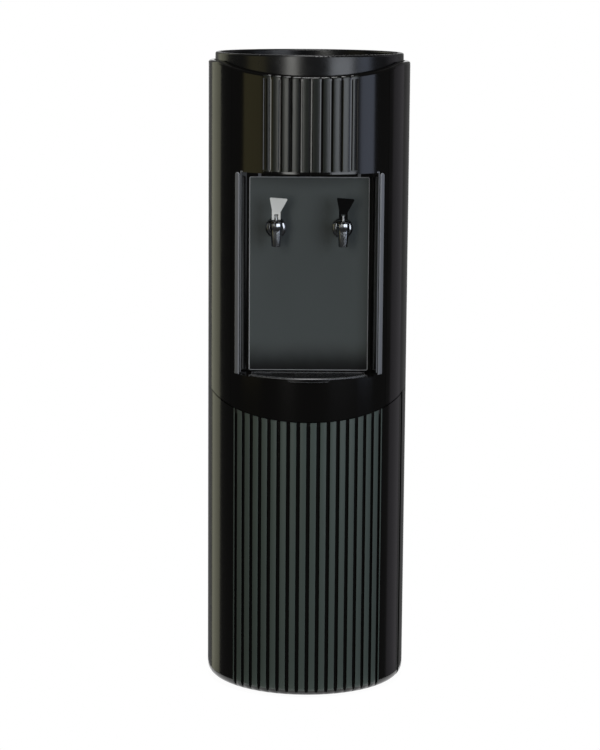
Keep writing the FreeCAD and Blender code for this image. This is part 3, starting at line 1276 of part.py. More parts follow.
coil_points = [
    ("0 - (%s)" % coil_end, line_y, "coil_bottom - 37"),
    ("0 - (%s)" % coil_end, line_y, "coil_bottom"),
    ("0 - (%s)" % coil_end, coil_y, "coil_bottom"),
]
turn_x = "coil_half + coil_bend"
for run in range(int(value("coil_runs")) - 1):
    side = "" if run % 2 == 0 else "-"
    for step in (run, run + 1):
        coil_points.append(("%s(%s)" % (side or "1 * ", turn_x), coil_y,
                            "coil_bottom + %d * coil_bend" % (2 * step)))
coil_points.append((coil_end, coil_y, coil_top))
coil_points.append((coil_end, line_y, coil_top))
coil_points.append((coil_end, line_y, coil_top + " - 20"))
node(tube("coil", "coil_radius", coil_points, "coil_bend"), "condenser_tube")
wire_y = coil_y + " + coil_radius + wire_radius + 0.02"
condenser_wires = [rod("wire", "wire_radius", "%s * wire_pitch" % (step - (value("wires") - 1) / 2), wire_y,
                       "coil_bottom - wire_over", "2 * coil_bend * (coil_runs - 1) + 2 * wire_over")
                   for step in range(int(value("wires")))]
node(group("wire_set", condenser_wires), "condenser_wires")
clips = []
for side in (-1, 1):
    for run in (1, 9):
        height = "coil_bottom + %d * coil_bend" % (2 * run)
        clip = block("clip_body", "%s * 8 * wire_pitch - 2.4" % side, "%s * 8 * wire_pitch + 2.4" % side,
                     panel_face, coil_y + " + coil_radius + 2", height + " - 5.5", height + " + 5.5")
        bore = rod("clip_bore", "coil_radius + 0.02", "%s * 8 * wire_pitch - 5" % side, coil_y, height,
                   "10", "x")
        clips.append(cut("clip", clip, bore))
node(group("clip_set", clips), "condenser_clips")

compressor_back = "compressor_y + compressor_radius - 3"
discharge = tube("discharge_run", "line_radius", [
    ("compressor_x", compressor_back, "coil_bottom - 60"),
    ("compressor_x", line_y, "coil_bottom - 60"),
    ("0 - (%s)" % coil_end, line_y, "coil_bottom - 60"),
    ("0 - (%s)" % coil_end, line_y, "coil_bottom - 37"),
], "8")
suction = tube("return_run", "line_radius", [
    ("0", "tank_y + " + sleeve_radius, "line_height"),
    ("0", line_y, "line_height"),
    ("0", line_y, shell_bottom + " + compressor_high + 24"),
    ("compressor_x + 20", "compressor_y + 22", shell_bottom + " + compressor_high + 24"),
    ("compressor_x + 20", "compressor_y + 22", shell_bottom + " + compressor_high"),
], "10")
drier = rod("drier_can", "drier_radius", coil_end, line_y, coil_top + " - 20 - drier_high", "drier_high")
capillary = tube("capillary_run", "capillary_radius", [
    (coil_end, line_y, coil_top + " - 20 - drier_high"),
    (coil_end, line_y, coil_top + " - 35 - drier_high"),
    ("foam_reach + 8", "tank_y + 40", "capillary_height - 45"),
    ("foam_reach + 8", "tank_y", "capillary_height"),
    (sleeve_radius, "tank_y", "capillary_height"),
], "8")
node(drier, "filter_drier")
node(group("copper_lines", [discharge, suction, capillary]), "refrigerant_lines")

# ---- control box, switches, power inlet and drain at the back ----
box_left, box_right = "box_x - box_half", "box_x + box_half"
box_top = "box_bottom + box_high"
box_outer = block("box_outer", box_left, box_right, "rear_flat - box_deep", "rear_flat", "box_bottom",
                  box_top)
box_inner = block("box_inner", box_left + " + box_wall", box_right + " - box_wall",
                  "rear_flat - box_deep + box_wall", "rear_flat + 1", "box_bottom + box_wall",
                  box_top + " - box_wall")
node(cut("box_cut", box_outer, box_inner), "control_box")

pivot_y = "rear_flat - 1"
switches = []
for word, across in zip(("heat", "cool"), switch_x):
    high = "switch_high + switch_wall"
    housing = join(word + "_switch_joined",
                   block(word + "_switch_shaft", across + " - (" + shaft + ")", across + " + " + shaft,
                         "rear_flat - switch_deep", panel_face + " + 1", "switch_z - (%s)" % high,
                         "switch_z + " + high),
                   block(word + "_switch_rim", across + " - (" + shaft + ") - switch_frame",
                         across + " + " + shaft + " + switch_frame",
                         panel_face, panel_face + " + switch_frame",
                         "switch_z - (%s) - switch_frame" % high, "switch_z + " + high + " + switch_frame"))
    hollow = block(word + "_switch_hollow", across + " - switch_half", across + " + switch_half",
                   "rear_flat - switch_deep + switch_wall", panel_face + " + 9",
                   "switch_z - switch_high", "switch_z + switch_high")
    trunnion_bore = rod(word + "_trunnion_bore", "trunnion_radius + pin_fit", across + " - switch_half - 1",
                        pivot_y, "switch_z", "2 * switch_half + 2", "x")
    switches.append(cut(word + "_switch_cut", housing, hollow, trunnion_bore))

    rocker = new_body(word + "_rocker_body")
    section = new_sketch(rocker, word + "_rocker_section", "YZ_Plane",
                         across + " - switch_half + rocker_gap")
    corners = [("-4", "-rocker_half"), ("6.4", "-rocker_half"), ("5.2", "0"), ("6.4", "rocker_half"),
               ("-4", "rocker_half")]
    polygon(section, [
        ("%s + %s * cos(rocker_tilt * 1 deg) - %s * sin(rocker_tilt * 1 deg)" % (pivot_y, a, b),
         "switch_z + %s * sin(rocker_tilt * 1 deg) + %s * cos(rocker_tilt * 1 deg)" % (a, b))
        for a, b in corners])
    pad(rocker, section, "2 * switch_half - 2 * rocker_gap")
    trunnion = rod(word + "_trunnion", "trunnion_radius", across + " - switch_half - 0.9", pivot_y,
                   "switch_z", "2 * switch_half + 1.8", "x")
    node(join(word + "_rocker_joined", rocker, trunnion), word + "_rocker")

socket = join("inlet_joined",
              block("inlet_shaft", "box_x - inlet_half", "box_x + inlet_half", "rear_flat - switch_deep",
                    panel_face + " + 1", "inlet_z - inlet_high", "inlet_z + inlet_high"),
              block("inlet_rim", "box_x - inlet_half - switch_frame", "box_x + inlet_half + switch_frame",
                    panel_face, panel_face + " + switch_frame", "inlet_z - inlet_high - switch_frame",
                    "inlet_z + inlet_high + switch_frame"))
socket_hollow = block("inlet_hollow", "box_x - inlet_half + 2", "box_x + inlet_half - 2",
                      "rear_flat - switch_deep + 3", panel_face + " + 5", "inlet_z - inlet_high + 2",
                      "inlet_z + inlet_high - 2")
node(cut("inlet_cut", socket, socket_hollow), "power_inlet")
node(group("switch_pair", switches), "rocker_switches")

drain = join("drain_joined",
             rod("drain_flange", "drain_radius", "drain_x", panel_face, "drain_z", "5.6", "y"),
             rod("drain_spigot_rod", "drain_spigot", "drain_x", "rear_flat - 9", "drain_z", "11", "y"),
             rod("drain_plug", "drain_radius - 2.5", "drain_x", panel_face + " + 5.4", "drain_z", "5.2", "y"))
node(drain, "drain_fitting")
screws = []
for side in (-1, 1):
    for height in screw_heights:
        across = "%s * screw_x" % side
        screws.append(join("panel_screw",
                           rod("screw_rod", "screw_shank", across, "rear_flat - rail_deep + 1", height,
                               "rail_deep + sheet_thick", "y"),
                           cone("screw_cap", "screw_head", "screw_head - 1", across, panel_face, height,
                                "2", "y")))
node(group("screw_set", screws), "panel_screws")


# ---- check and write ----
doc.recompute()
failed = [item.Name for item in doc.Objects if "Invalid" in item.State or "Error" in item.State]
for item in nodes:
    if item.Shape.isNull() or not item.Shape.isValid():
        failed.append(item.Label)
if failed:
    raise RuntimeError("not built: " + ", ".join(failed))
os.makedirs("parts", exist_ok=True)
for item in nodes:
    item.Shape.exportStep("parts/%s.step" % item.Label)
print("%d nodes, %d solids" % (len(nodes), sum(len(item.Shape.Solids) for item in nodes)))
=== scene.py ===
import math

import bpy
from mathutils import Matrix


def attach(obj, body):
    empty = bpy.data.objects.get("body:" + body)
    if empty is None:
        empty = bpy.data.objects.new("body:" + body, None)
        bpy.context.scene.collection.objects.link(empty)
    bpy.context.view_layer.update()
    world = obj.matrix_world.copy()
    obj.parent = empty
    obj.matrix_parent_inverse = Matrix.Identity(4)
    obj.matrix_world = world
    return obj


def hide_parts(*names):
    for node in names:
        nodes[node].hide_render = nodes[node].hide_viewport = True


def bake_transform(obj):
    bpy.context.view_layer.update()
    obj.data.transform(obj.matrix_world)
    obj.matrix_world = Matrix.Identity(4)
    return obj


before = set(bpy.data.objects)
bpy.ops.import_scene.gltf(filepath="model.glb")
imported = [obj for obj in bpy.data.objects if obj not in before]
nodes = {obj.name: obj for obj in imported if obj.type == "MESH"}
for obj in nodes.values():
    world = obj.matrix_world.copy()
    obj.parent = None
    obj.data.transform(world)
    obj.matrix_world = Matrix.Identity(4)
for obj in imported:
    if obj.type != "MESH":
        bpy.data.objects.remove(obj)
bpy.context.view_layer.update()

# ---- Camera ----
# The cooler is photographed from a little above its top and almost square to its front, with a
# long lens, so that the sides of the cylinder stay nearly parallel.
CAMERA_PLACE = (-0.0686, -3.8154, 1.146)
CAMERA_HEADING = -0.86
CAMERA_PITCH = -9.66
CAMERA_ROLL = 0.44
bpy.context.scene.view_settings.view_transform = "Standard"
camera_data = bpy.data.cameras.new("product_camera")
camera_data.sensor_fit = "VERTICAL"
camera_data.sensor_height = 36.0
camera_data.lens = 114.58
camera_data.clip_end = 50.0
camera = bpy.data.objects.new("product_camera", camera_data)
bpy.context.scene.collection.objects.link(camera)
bpy.context.scene.camera = camera
heading = Matrix.Rotation(math.radians(CAMERA_HEADING), 4, "Z")
pitch = Matrix.Rotation(math.radians(90.0 + CAMERA_PITCH), 4, "X")
roll = Matrix.Rotation(math.radians(CAMERA_ROLL), 4, "Z")
camera.matrix_world = Matrix.Translation(CAMERA_PLACE) @ heading @ pitch @ roll


# ---- Lower and upper housing ----
# Two thick-walled wraps of black ABS, injection moulded in a polished tool, one standing on a
# sleeve of the other, with a sloping shadow joint between them.
MM = 0.001
BLACK = "#0A0908"
POLISH = 0.13


def linear(hex_colour):
    """An sRGB hex colour as the linear RGBA that a shader wants."""
    channels = [int(hex_colour[i:i + 2], 16) / 255 for i in (1, 3, 5)]
    return [c / 12.92 if c <= 0.04045 else ((c + 0.055) / 1.055) ** 2.4 for c in channels] + [1.0]


def add(tree, kind, settings=None, inputs=None):
    """Add a node with its settings; an input takes a value, or a link from an output. Inputs that
    share a name go by number: a colour mix has its factor at 0 and its two colours at 6 and 7."""
    node = tree.nodes.new(kind)
    for name, setting in (settings or {}).items():
        setattr(node, name, setting)
    for name, source in (inputs or {}).items():
        if isinstance(source, bpy.types.NodeSocket):
            tree.links.new(source, node.inputs[name])
        else:
            node.inputs[name].default_value = source
    return node


def start_finish(name, hex_colour, roughness, metallic=0.0):
    """A new material, its tree, its shader and the coordinates that its patterns lie in."""
    material = bpy.data.materials.new(name)
    material.use_nodes = True
    tree = material.node_tree
    shader = tree.nodes["Principled BSDF"]
    shader.inputs["Base Color"].default_value = linear(hex_colour)
    shader.inputs["Roughness"].default_value = roughness
    shader.inputs["Metallic"].default_value = metallic
    shader.inputs["IOR"].default_value = 1.5
    return material, tree, shader, add(tree, "ShaderNodeTexCoord").outputs["Object"]


def dress(material, *names):
    """Give CAD nodes a material in place of their packed one."""
    for name in names:
        mesh = nodes[name].data
        mesh.materials.clear()
        mesh.materials.append(material)


# Polished ABS: a deep black whose mirror is a little soft, with the slow ripple of a moulded wall
# 80 mm from wave to wave and the haze of hand polishing in its gloss.
polished, tree, shader, place = start_finish("polished_black_abs", BLACK, POLISH)
haze = add(tree, "ShaderNodeTexNoise", None, {"Vector": place, "Scale": 1 / (40 * MM), "Detail": 3.0})
gloss = add(tree, "ShaderNodeMapRange", None, {"Value": haze.outputs[0], "From Min": 0.3, "From Max": 0.7,
                                               "To Min": 0.11, "To Max": 0.16})
tree.links.new(gloss.outputs[0], shader.inputs["Roughness"])
ripple = add(tree, "ShaderNodeTexNoise", None, {"Vector": place, "Scale": 1 / (80 * MM), "Detail": 1.0})
wave = add(tree, "ShaderNodeBump", None, {"Height": ripple.outputs[0], "Strength": 1.0,
                                          "Distance": 0.12 * MM})
tree.links.new(wave.outputs[0], shader.inputs["Normal"])
dress(polished, "lower_housing", "upper_housing")

# ---- Front moulding and door ----
# The upper front carries nine flutes, the niche and two upright beads beside it; the door below it
# has seventeen flutes. Both are ABS mouldings, polished but for the beads and the ribs' faces.
FLUTE_PITCH = math.radians(5.66)
HALF_RIB = 0.31
RIB_FACE = 159.3 * MM
SKIN = 160.3 * MM
BORDER = (math.radians(41.5), math.radians(0.9))
NICHE = (679 * MM, 158 * MM)
BARE_GREY = "#7C7E83"


def fluted_finish(name, rib_hex, rib_roughness, half_field, lowest, crown):
    """Polished ABS with a field of ribs: the ribs' colour and roughness, the angle from the front to
    the field's edge, the height of its foot and how far a rib's face is crowned."""
    material, tree, shader, place = start_finish(name, rib_hex, rib_roughness)
    axes = add(tree, "ShaderNodeSeparateXYZ", None, {"Vector": place})
    forward = add(tree, "ShaderNodeMath", {"operation": "MULTIPLY"}, {0: axes.outputs["Y"], 1: -1.0})
    angle = add(tree, "ShaderNodeMath", {"operation": "ARCTAN2"}, {0: axes.outputs["X"],
                                                                   1: forward.outputs[0]})
    level = add(tree, "ShaderNodeCombineXYZ", None, {"X": axes.outputs["X"], "Y": axes.outputs["Y"]})
    radius = add(tree, "ShaderNodeVectorMath", {"operation": "LENGTH"}, {0: level.outputs[0]})

    # The ribs' faces alone are etched: within the field, over its foot and out of the grooves.
    turned_by = add(tree, "ShaderNodeMath", {"operation": "ABSOLUTE"}, {0: angle.outputs[0]})
    within = add(tree, "ShaderNodeMath", {"operation": "LESS_THAN"}, {0: turned_by.outputs[0],
                                                                      1: math.radians(half_field)})
    over = add(tree, "ShaderNodeMath", {"operation": "GREATER_THAN"}, {0: axes.outputs["Z"], 1: lowest})
    raised = add(tree, "ShaderNodeMapRange", None, {
        "Value": radius.outputs["Value"], "From Min": RIB_FACE - 0.3 * MM, "From Max": RIB_FACE})
    field = add(tree, "ShaderNodeMath", {"operation": "MULTIPLY"}, {0: within.outputs[0], 1: over.outputs[0]})
    turns = add(tree, "ShaderNodeMath", {"operation": "DIVIDE"}, {0: angle.outputs[0], 1: FLUTE_PITCH})
    phase = add(tree, "ShaderNodeMath", {"operation": "FRACT"}, {0: turns.outputs[0]})
    beside = add(tree, "ShaderNodeMath", {"operation": "SUBTRACT"}, {0: phase.outputs[0], 1: 0.5})
    off_middle = add(tree, "ShaderNodeMath", {"operation": "ABSOLUTE"}, {0: beside.outputs[0]})
    on_rib = add(tree, "ShaderNodeMath", {"operation": "LESS_THAN"}, {0: off_middle.outputs[0], 1: HALF_RIB})
    ribs = add(tree, "ShaderNodeMath", {"operation": "MULTIPLY"}, {0: field.outputs[0], 1: on_rib.outputs[0]})
    face = add(tree, "ShaderNodeMath", {"operation": "MULTIPLY"}, {0: ribs.outputs[0], 1: raised.outputs[0]})
    # A bead stands proud of the skin and is etched all over, in the grey of a bare moulding, and so
    # is the narrow border between it and the niche. Both of the border's limits are a middle and a half.
    proud = add(tree, "ShaderNodeMath", {"operation": "GREATER_THAN"}, {0: radius.outputs["Value"], 1: SKIN})
    strip = add(tree, "ShaderNodeMath", {"operation": "COMPARE"}, {0: turned_by.outputs[0],
                                                                   1: BORDER[0], 2: BORDER[1]})
    niche = add(tree, "ShaderNodeMath", {"operation": "COMPARE"}, {0: axes.outputs["Z"],
                                                                   1: NICHE[0], 2: NICHE[1]})
    border = add(tree, "ShaderNodeMath", {"operation": "MULTIPLY"}, {0: strip.outputs[0],
                                                                     1: niche.outputs[0]})
    bare = add(tree, "ShaderNodeMath", {"operation": "MAXIMUM"}, {0: proud.outputs[0], 1: border.outputs[0]})
    etched = add(tree, "ShaderNodeMath", {"operation": "MAXIMUM"}, {0: face.outputs[0], 1: bare.outputs[0]})
    ribbed = add(tree, "ShaderNodeMix", {"data_type": "RGBA"}, {0: face.outputs[0], 6: linear(BLACK),
                                                                7: linear(rib_hex)})
    colour = add(tree, "ShaderNodeMix", {"data_type": "RGBA"}, {0: bare.outputs[0], 6: ribbed.outputs[2],
                                                                7: linear(BARE_GREY)})
    tree.links.new(colour.outputs[2], shader.inputs["Base Color"])
    gloss = add(tree, "ShaderNodeMapRange", None, {"Value": etched.outputs[0], "To Min": POLISH,
                                                   "To Max": rib_roughness})
    tree.links.new(gloss.outputs[0], shader.inputs["Roughness"])

    # Each face is a little crowned, and the etching gives it a fine grain.
    arch = add(tree, "ShaderNodeMath", {"operation": "POWER"}, {0: beside.outputs[0], 1: 2.0})
    fall = add(tree, "ShaderNodeMath", {"operation": "MULTIPLY"}, {0: arch.outputs[0], 1: field.outputs[0]})
    bend = add(tree, "ShaderNodeBump", {"invert": True}, {"Height": fall.outputs[0], "Strength": 1.0,
                                                          "Distance": crown})
    etch = add(tree, "ShaderNodeTexNoise", None, {"Vector": place, "Scale": 1 / (0.6 * MM), "Detail": 2.0})
    pits = add(tree, "ShaderNodeMath", {"operation": "MULTIPLY"}, {0: etch.outputs[0], 1: etched.outputs[0]})
    grain = add(tree, "ShaderNodeBump", None, {"Height": pits.outputs[0], "Strength": 1.0,
                                               "Distance": 0.02 * MM, "Normal": bend.outputs[0]})
    tree.links.new(grain.outputs[0], shader.inputs["Normal"])
    return material


# Satin ribs over the niche: dark, each with a bright face where it looks at a lamp.
satin_ribs = fluted_finish("abs_with_satin_ribs", "#1C1F1B", 0.3, 26.9, 0.8385, 3.0 * MM)
dress(satin_ribs, "front_fascia")
# Etched ribs on the door: a soft grey-green that stands out from the black of the grooves.
etched_ribs = fluted_finish("abs_with_etched_ribs", "#4D5752", 0.38, 47.2, 0.0, 4.5 * MM)
dress(etched_ribs, "lower_door")


# ---- Splash panel ----
# A flat ABS plate screwed into the back of the niche, spark-etched to a grey-green that is painted darker
# toward the tray as shade, with a rounded rim that is painted light grey all round as a highlight.
def soften(node_name, width, *materials):
    """A piece in the form of a CAD node with rounded edges, which get the last of its materials."""
    bpy.ops.object.select_all(action="DESELECT")
    piece = bpy.data.objects.new(node_name + "_detailed", nodes[node_name].data.copy())
    piece.data.materials.clear()
    for material in materials:
        piece.data.materials.append(material)
    bpy.context.scene.collection.objects.link(piece)
    bpy.context.view_layer.objects.active = piece
    piece.select_set(True)
    bpy.ops.object.mode_set(mode="EDIT")
    bpy.ops.mesh.select_all(action="SELECT")
    bpy.ops.mesh.remove_doubles(threshold=0.02 * MM)
    bpy.ops.mesh.dissolve_limited(angle_limit=math.radians(1.0))
    bpy.ops.object.mode_set(mode="OBJECT")
    rounding = piece.modifiers.new("rounded_edges", "BEVEL")
    rounding.width = width
    rounding.segments = 3
    rounding.limit_method = "ANGLE"
    rounding.angle_limit = math.radians(35)
    rounding.material = len(materials) - 1
    bpy.ops.object.modifier_apply(modifier=rounding.name)
    bpy.ops.object.shade_smooth_by_angle(angle=math.radians(38))
    # Large faces keep their own normals, so that they shade as flat as they are.
    levelling = piece.modifiers.new("level_faces", "WEIGHTED_NORMAL")
    levelling.keep_sharp = True
    bpy.ops.object.modifier_apply(modifier=levelling.name)
    return piece


def fit(piece, body, replaced):
    """Put a finished piece on its body, in place of the CAD node that it stands for."""
    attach(piece, body)
    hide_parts(replaced)


# Etched plate: a fine grain 0.6 mm across that spreads the light; toward the tray its colour is painted
# darker, as painted shade under the ledge with a wavering edge, and its gloss is duller there.
PLATE_GREY = "#4A5050"
SHADE_DARKEST_AT, SHADE_ENDS_AT = 524 * MM, 588 * MM
etched, tree, shader, place = start_finish("spark_etched_abs_plate", PLATE_GREY, 0.4)
axes = add(tree, "ShaderNodeSeparateXYZ", None, {"Vector": place})
drift = add(tree, "ShaderNodeTexNoise", None, {"Vector": place, "Scale": 1 / (60 * MM), "Detail": 2.0})
sway = add(tree, "ShaderNodeMath", {"operation": "MULTIPLY_ADD"}, {0: drift.outputs[0], 1: 14 * MM,
                                                                   2: axes.outputs["Z"]})
clear_of_painted_shade = add(tree, "ShaderNodeMapRange", {"interpolation_type": "SMOOTHSTEP"}, {
    "Value": sway.outputs[0], "From Min": SHADE_DARKEST_AT, "From Max": SHADE_ENDS_AT})
# Painted shade: the plate's grey falls to near black toward the tray, where the ledge would shade it.
shade = add(tree, "ShaderNodeMix", {"data_type": "RGBA"}, {0: clear_of_painted_shade.outputs[0], 6: linear("#070808"),
                                                           7: linear(PLATE_GREY)})
tree.links.new(shade.outputs[2], shader.inputs["Base Color"])
gloss = add(tree, "ShaderNodeMapRange", None, {"Value": clear_of_painted_shade.outputs[0], "To Min": 1.0, "To Max": 0.4})
tree.links.new(gloss.outputs[0], shader.inputs["Roughness"])
etch = add(tree, "ShaderNodeTexNoise", None, {"Vector": place, "Scale": 1 / (0.6 * MM), "Detail": 3.0})
grain = add(tree, "ShaderNodeBump", None, {"Height": etch.outputs[0], "Strength": 1.0,
                                           "Distance": 0.025 * MM})
tree.links.new(grain.outputs[0], shader.inputs["Normal"])
# Rim with a painted highlight: the rounded edge is coloured light grey to stand for the line of light on it,
# with fine marks in its roughness.
rim, tree, shader, place = start_finish("abs_rim_painted_highlight", "#B4B6B9", 0.3)
rim_mottle = add(tree, "ShaderNodeTexNoise", None, {"Vector": place, "Scale": 1 / (4 * MM), "Detail": 3.0})
gloss = add(tree, "ShaderNodeMapRange", None, {"Value": rim_mottle.outputs[0], "To Min": 0.2, "To Max": 0.4})
tree.links.new(gloss.outputs[0], shader.inputs["Roughness"])
# The rim takes the plate's edges and a line 0.5 mm wide round its front face, which stays flat.
plate = soften("splash_panel", 0.6 * MM, etched)
front = min(corner[1] for corner in plate.bound_box)
bpy.ops.object.mode_set(mode="EDIT")
bpy.ops.mesh.select_mode(type="FACE")
bpy.ops.mesh.select_all(action="DESELECT")
bpy.ops.object.mode_set(mode="OBJECT")
plate.data.materials.append(rim)
for face in plate.data.polygons:
    face.select = face.normal.y < -0.99 and face.center.y < front + 0.1 * MM
    face.material_index = 1 if face.normal.y < 0.5 else 0
bpy.ops.object.mode_set(mode="EDIT")
bpy.ops.mesh.inset(thickness=0.5 * MM, use_boundary=True)
bpy.ops.object.mode_set(mode="OBJECT")
for face in plate.data.polygons:
    face.material_index = 0 if face.select else face.material_index
bpy.ops.mesh.customdata_custom_splitnormals_clear()
bpy.ops.object.shade_flat()
fit(plate, "cabinet", "splash_panel")

# ---- Drip tray and grille ----
# A loose ABS tub that hangs by its rim in the ledge, its lip bowed out over the front, and a loose
# grille with five rows of curved slots that drops into it. Their edges are rounded; the tub's are painted
# light grey as a highlight.
# Satin ABS: near black, with a soft sheen and a grain 0.8 mm across.
satin, tree, shader, place = start_finish("satin_abs_tray", "#0D0D0E", 0.27)
etch = add(tree, "ShaderNodeTexNoise", None, {"Vector": place, "Scale": 1 / (0.8 * MM), "Detail": 2.0})
grain = add(tree, "ShaderNodeBump", None, {"Height": etch.outputs[0], "Strength": 1.0,
                                           "Distance": 0.008 * MM})
tree.links.new(grain.outputs[0], shader.inputs["Normal"])
# The tub's rounded edges take the light grey rim material, a painted highlight.
fit(soften("drip_tray", 1.0 * MM, satin, rim), "tray", "drip_tray")
fit(soften("drip_grille", 0.35 * MM, satin), "grille", "drip_grille")

# ---- Collar and lid ----
# A moulded ring that stands in the top of the housing, and a loose lid in its recess with two
# finger notches. Their satin face spreads the lamps into broad soft bands.
collar_satin, tree, shader, place = start_finish("satin_abs_collar", "#121213", 0.24)
haze = add(tree, "ShaderNodeTexNoise", None, {"Vector": place, "Scale": 1 / (30 * MM), "Detail": 3.0})
gloss = add(tree, "ShaderNodeMapRange", None, {"Value": haze.outputs[0], "From Min": 0.3, "From Max": 0.7,
                                               "To Min": 0.21, "To Max": 0.28})
tree.links.new(gloss.outputs[0], shader.inputs["Roughness"])
dress(collar_satin, "top_collar")
fit(soften("top_lid", 0.6 * MM, collar_satin), "lid", "top_lid")


# ---- Faucets ----
# Two push-up bar faucets: a plated ten-sided body moulded with its shank, a plated rosette against
# the splash panel, a black flanged cap, a steel stem and a flared paddle, one white and one black.
def turned(name, place, sections, material, sides, along="z"):
    """A round piece drawn section by section, (radius, height) each, upward or toward the front."""
    bpy.ops.mesh.primitive_circle_add(vertices=sides, radius=sections[0][0] * MM, fill_type="NGON",
                                      location=(0, 0, sections[0][1] * MM))
    piece = bpy.context.object
    piece.name = name
    piece.data.materials.append(material)
    bpy.ops.object.transform_apply(location=True, rotation=True, scale=True)
    bpy.ops.object.mode_set(mode="EDIT")
    bpy.ops.mesh.select_all(action="SELECT")
    for (radius, height), (next_radius, next_height) in zip(sections, sections[1:]):
        bpy.ops.mesh.extrude_region_move(
            TRANSFORM_OT_translate={"value": (0, 0, (next_height - height) * MM)})
        growth = next_radius / radius
        bpy.ops.transform.resize(value=(growth, growth, 1), center_override=(0, 0, next_height * MM))
    bpy.ops.mesh.select_all(action="SELECT")
    bpy.ops.mesh.normals_make_consistent(inside=False)
    bpy.ops.object.mode_set(mode="OBJECT")
    if along == "y":
        piece.rotation_euler = (math.radians(90), 0, 0)
    piece.location = [c * MM for c in place]
    bpy.ops.object.transform_apply(location=True, rotation=True, scale=True)
    bpy.ops.object.shade_smooth_by_angle(angle=math.radians(30))
    return piece


def bevel(piece, width):
    """Round the sharp edges of a piece."""
    bpy.context.view_layer.objects.active = piece
    rounding = piece.modifiers.new("rounded_edges", "BEVEL")
    rounding.width = width
    rounding.segments = 2
    rounding.limit_method = "ANGLE"
    rounding.angle_limit = math.radians(30)
    bpy.ops.object.modifier_apply(modifier=rounding.name)
    bpy.ops.object.shade_smooth_by_angle(angle=math.radians(30))
    return piece


def one_piece(name, pieces):
    """Several meshes as one piece."""
    bpy.ops.object.select_all(action="DESELECT")
    for piece in pieces:
        piece.select_set(True)
    bpy.context.view_layer.objects.active = pieces[0]
    bpy.ops.object.join()
    pieces[0].name = name
    return pieces[0]


# Smoked chrome: a dark mirror with bright streaks, a little wavy as plating over plastic is.
chrome, tree, shader, place = start_finish("smoked_chrome_plating", "#9A9C9F", 0.16, 1.0)
flow = add(tree, "ShaderNodeTexNoise", None, {"Vector": place, "Scale": 1 / (9 * MM), "Detail": 2.0})
gloss = add(tree, "ShaderNodeMapRange", None, {"Value": flow.outputs[0], "To Min": 0.1, "To Max": 0.24})
tree.links.new(gloss.outputs[0], shader.inputs["Roughness"])
swell = add(tree, "ShaderNodeBump", None, {"Height": flow.outputs[0], "Strength": 1.0,
                                           "Distance": 0.25 * MM})
tree.links.new(swell.outputs[0], shader.inputs["Normal"])
# Moulded gloss: black acetal straight from a bright tool, with faint flow marks.
moulded, tree, shader, place = start_finish("glossy_moulded_acetal", "#0C0C0D", 0.16)
flow = add(tree, "ShaderNodeTexNoise", None, {"Vector": place, "Scale": 1 / (9 * MM), "Detail": 2.0})
gloss = add(tree, "ShaderNodeMapRange", None, {"Value": flow.outputs[0], "To Min": 0.1, "To Max": 0.24})
tree.links.new(gloss.outputs[0], shader.inputs["Roughness"])
# Matt black paddle: dull and deep black, so that it stands out as a plain shape, with a dry grain.
matt, tree, shader, place = start_finish("matt_black_paddle", "#020202", 0.75)
shader.inputs["Specular IOR Level"].default_value = 0.12
peel = add(tree, "ShaderNodeTexNoise", None, {"Vector": place, "Scale": 1 / (1.2 * MM), "Detail": 2.0})
grain = add(tree, "ShaderNodeBump", None, {"Height": peel.outputs[0], "Strength": 1.0,
                                           "Distance": 0.02 * MM})
tree.links.new(grain.outputs[0], shader.inputs["Normal"])
# White paddle: milky acetal with a soft shine and the faintest orange peel.
white, tree, shader, place = start_finish("white_acetal_paddle", "#EDEDEA", 0.35)
peel = add(tree, "ShaderNodeTexNoise", None, {"Vector": place, "Scale": 1 / (1.2 * MM), "Detail": 2.0})
grain = add(tree, "ShaderNodeBump", None, {"Height": peel.outputs[0], "Strength": 1.0,
                                           "Distance": 0.01 * MM})
tree.links.new(grain.outputs[0], shader.inputs["Normal"])
# Drawn steel: bright rod and tank sheet, with fine marks drawn along it.
stainless, tree, shader, place = start_finish("drawn_stainless_steel", "#A9AAAB", 0.28, 1.0)
stretch = add(tree, "ShaderNodeMapping", None, {"Vector": place, "Scale": (1.0, 1.0, 0.03)})
draw = add(tree, "ShaderNodeTexNoise", None, {"Vector": stretch.outputs[0], "Scale": 1 / (0.5 * MM)})
gloss = add(tree, "ShaderNodeMapRange", None, {"Value": draw.outputs[0], "To Min": 0.2, "To Max": 0.38})
tree.links.new(gloss.outputs[0], shader.inputs["Roughness"])
dress(stainless, "left_faucet_stem", "right_faucet_stem", "cold_tank", "hot_tank")

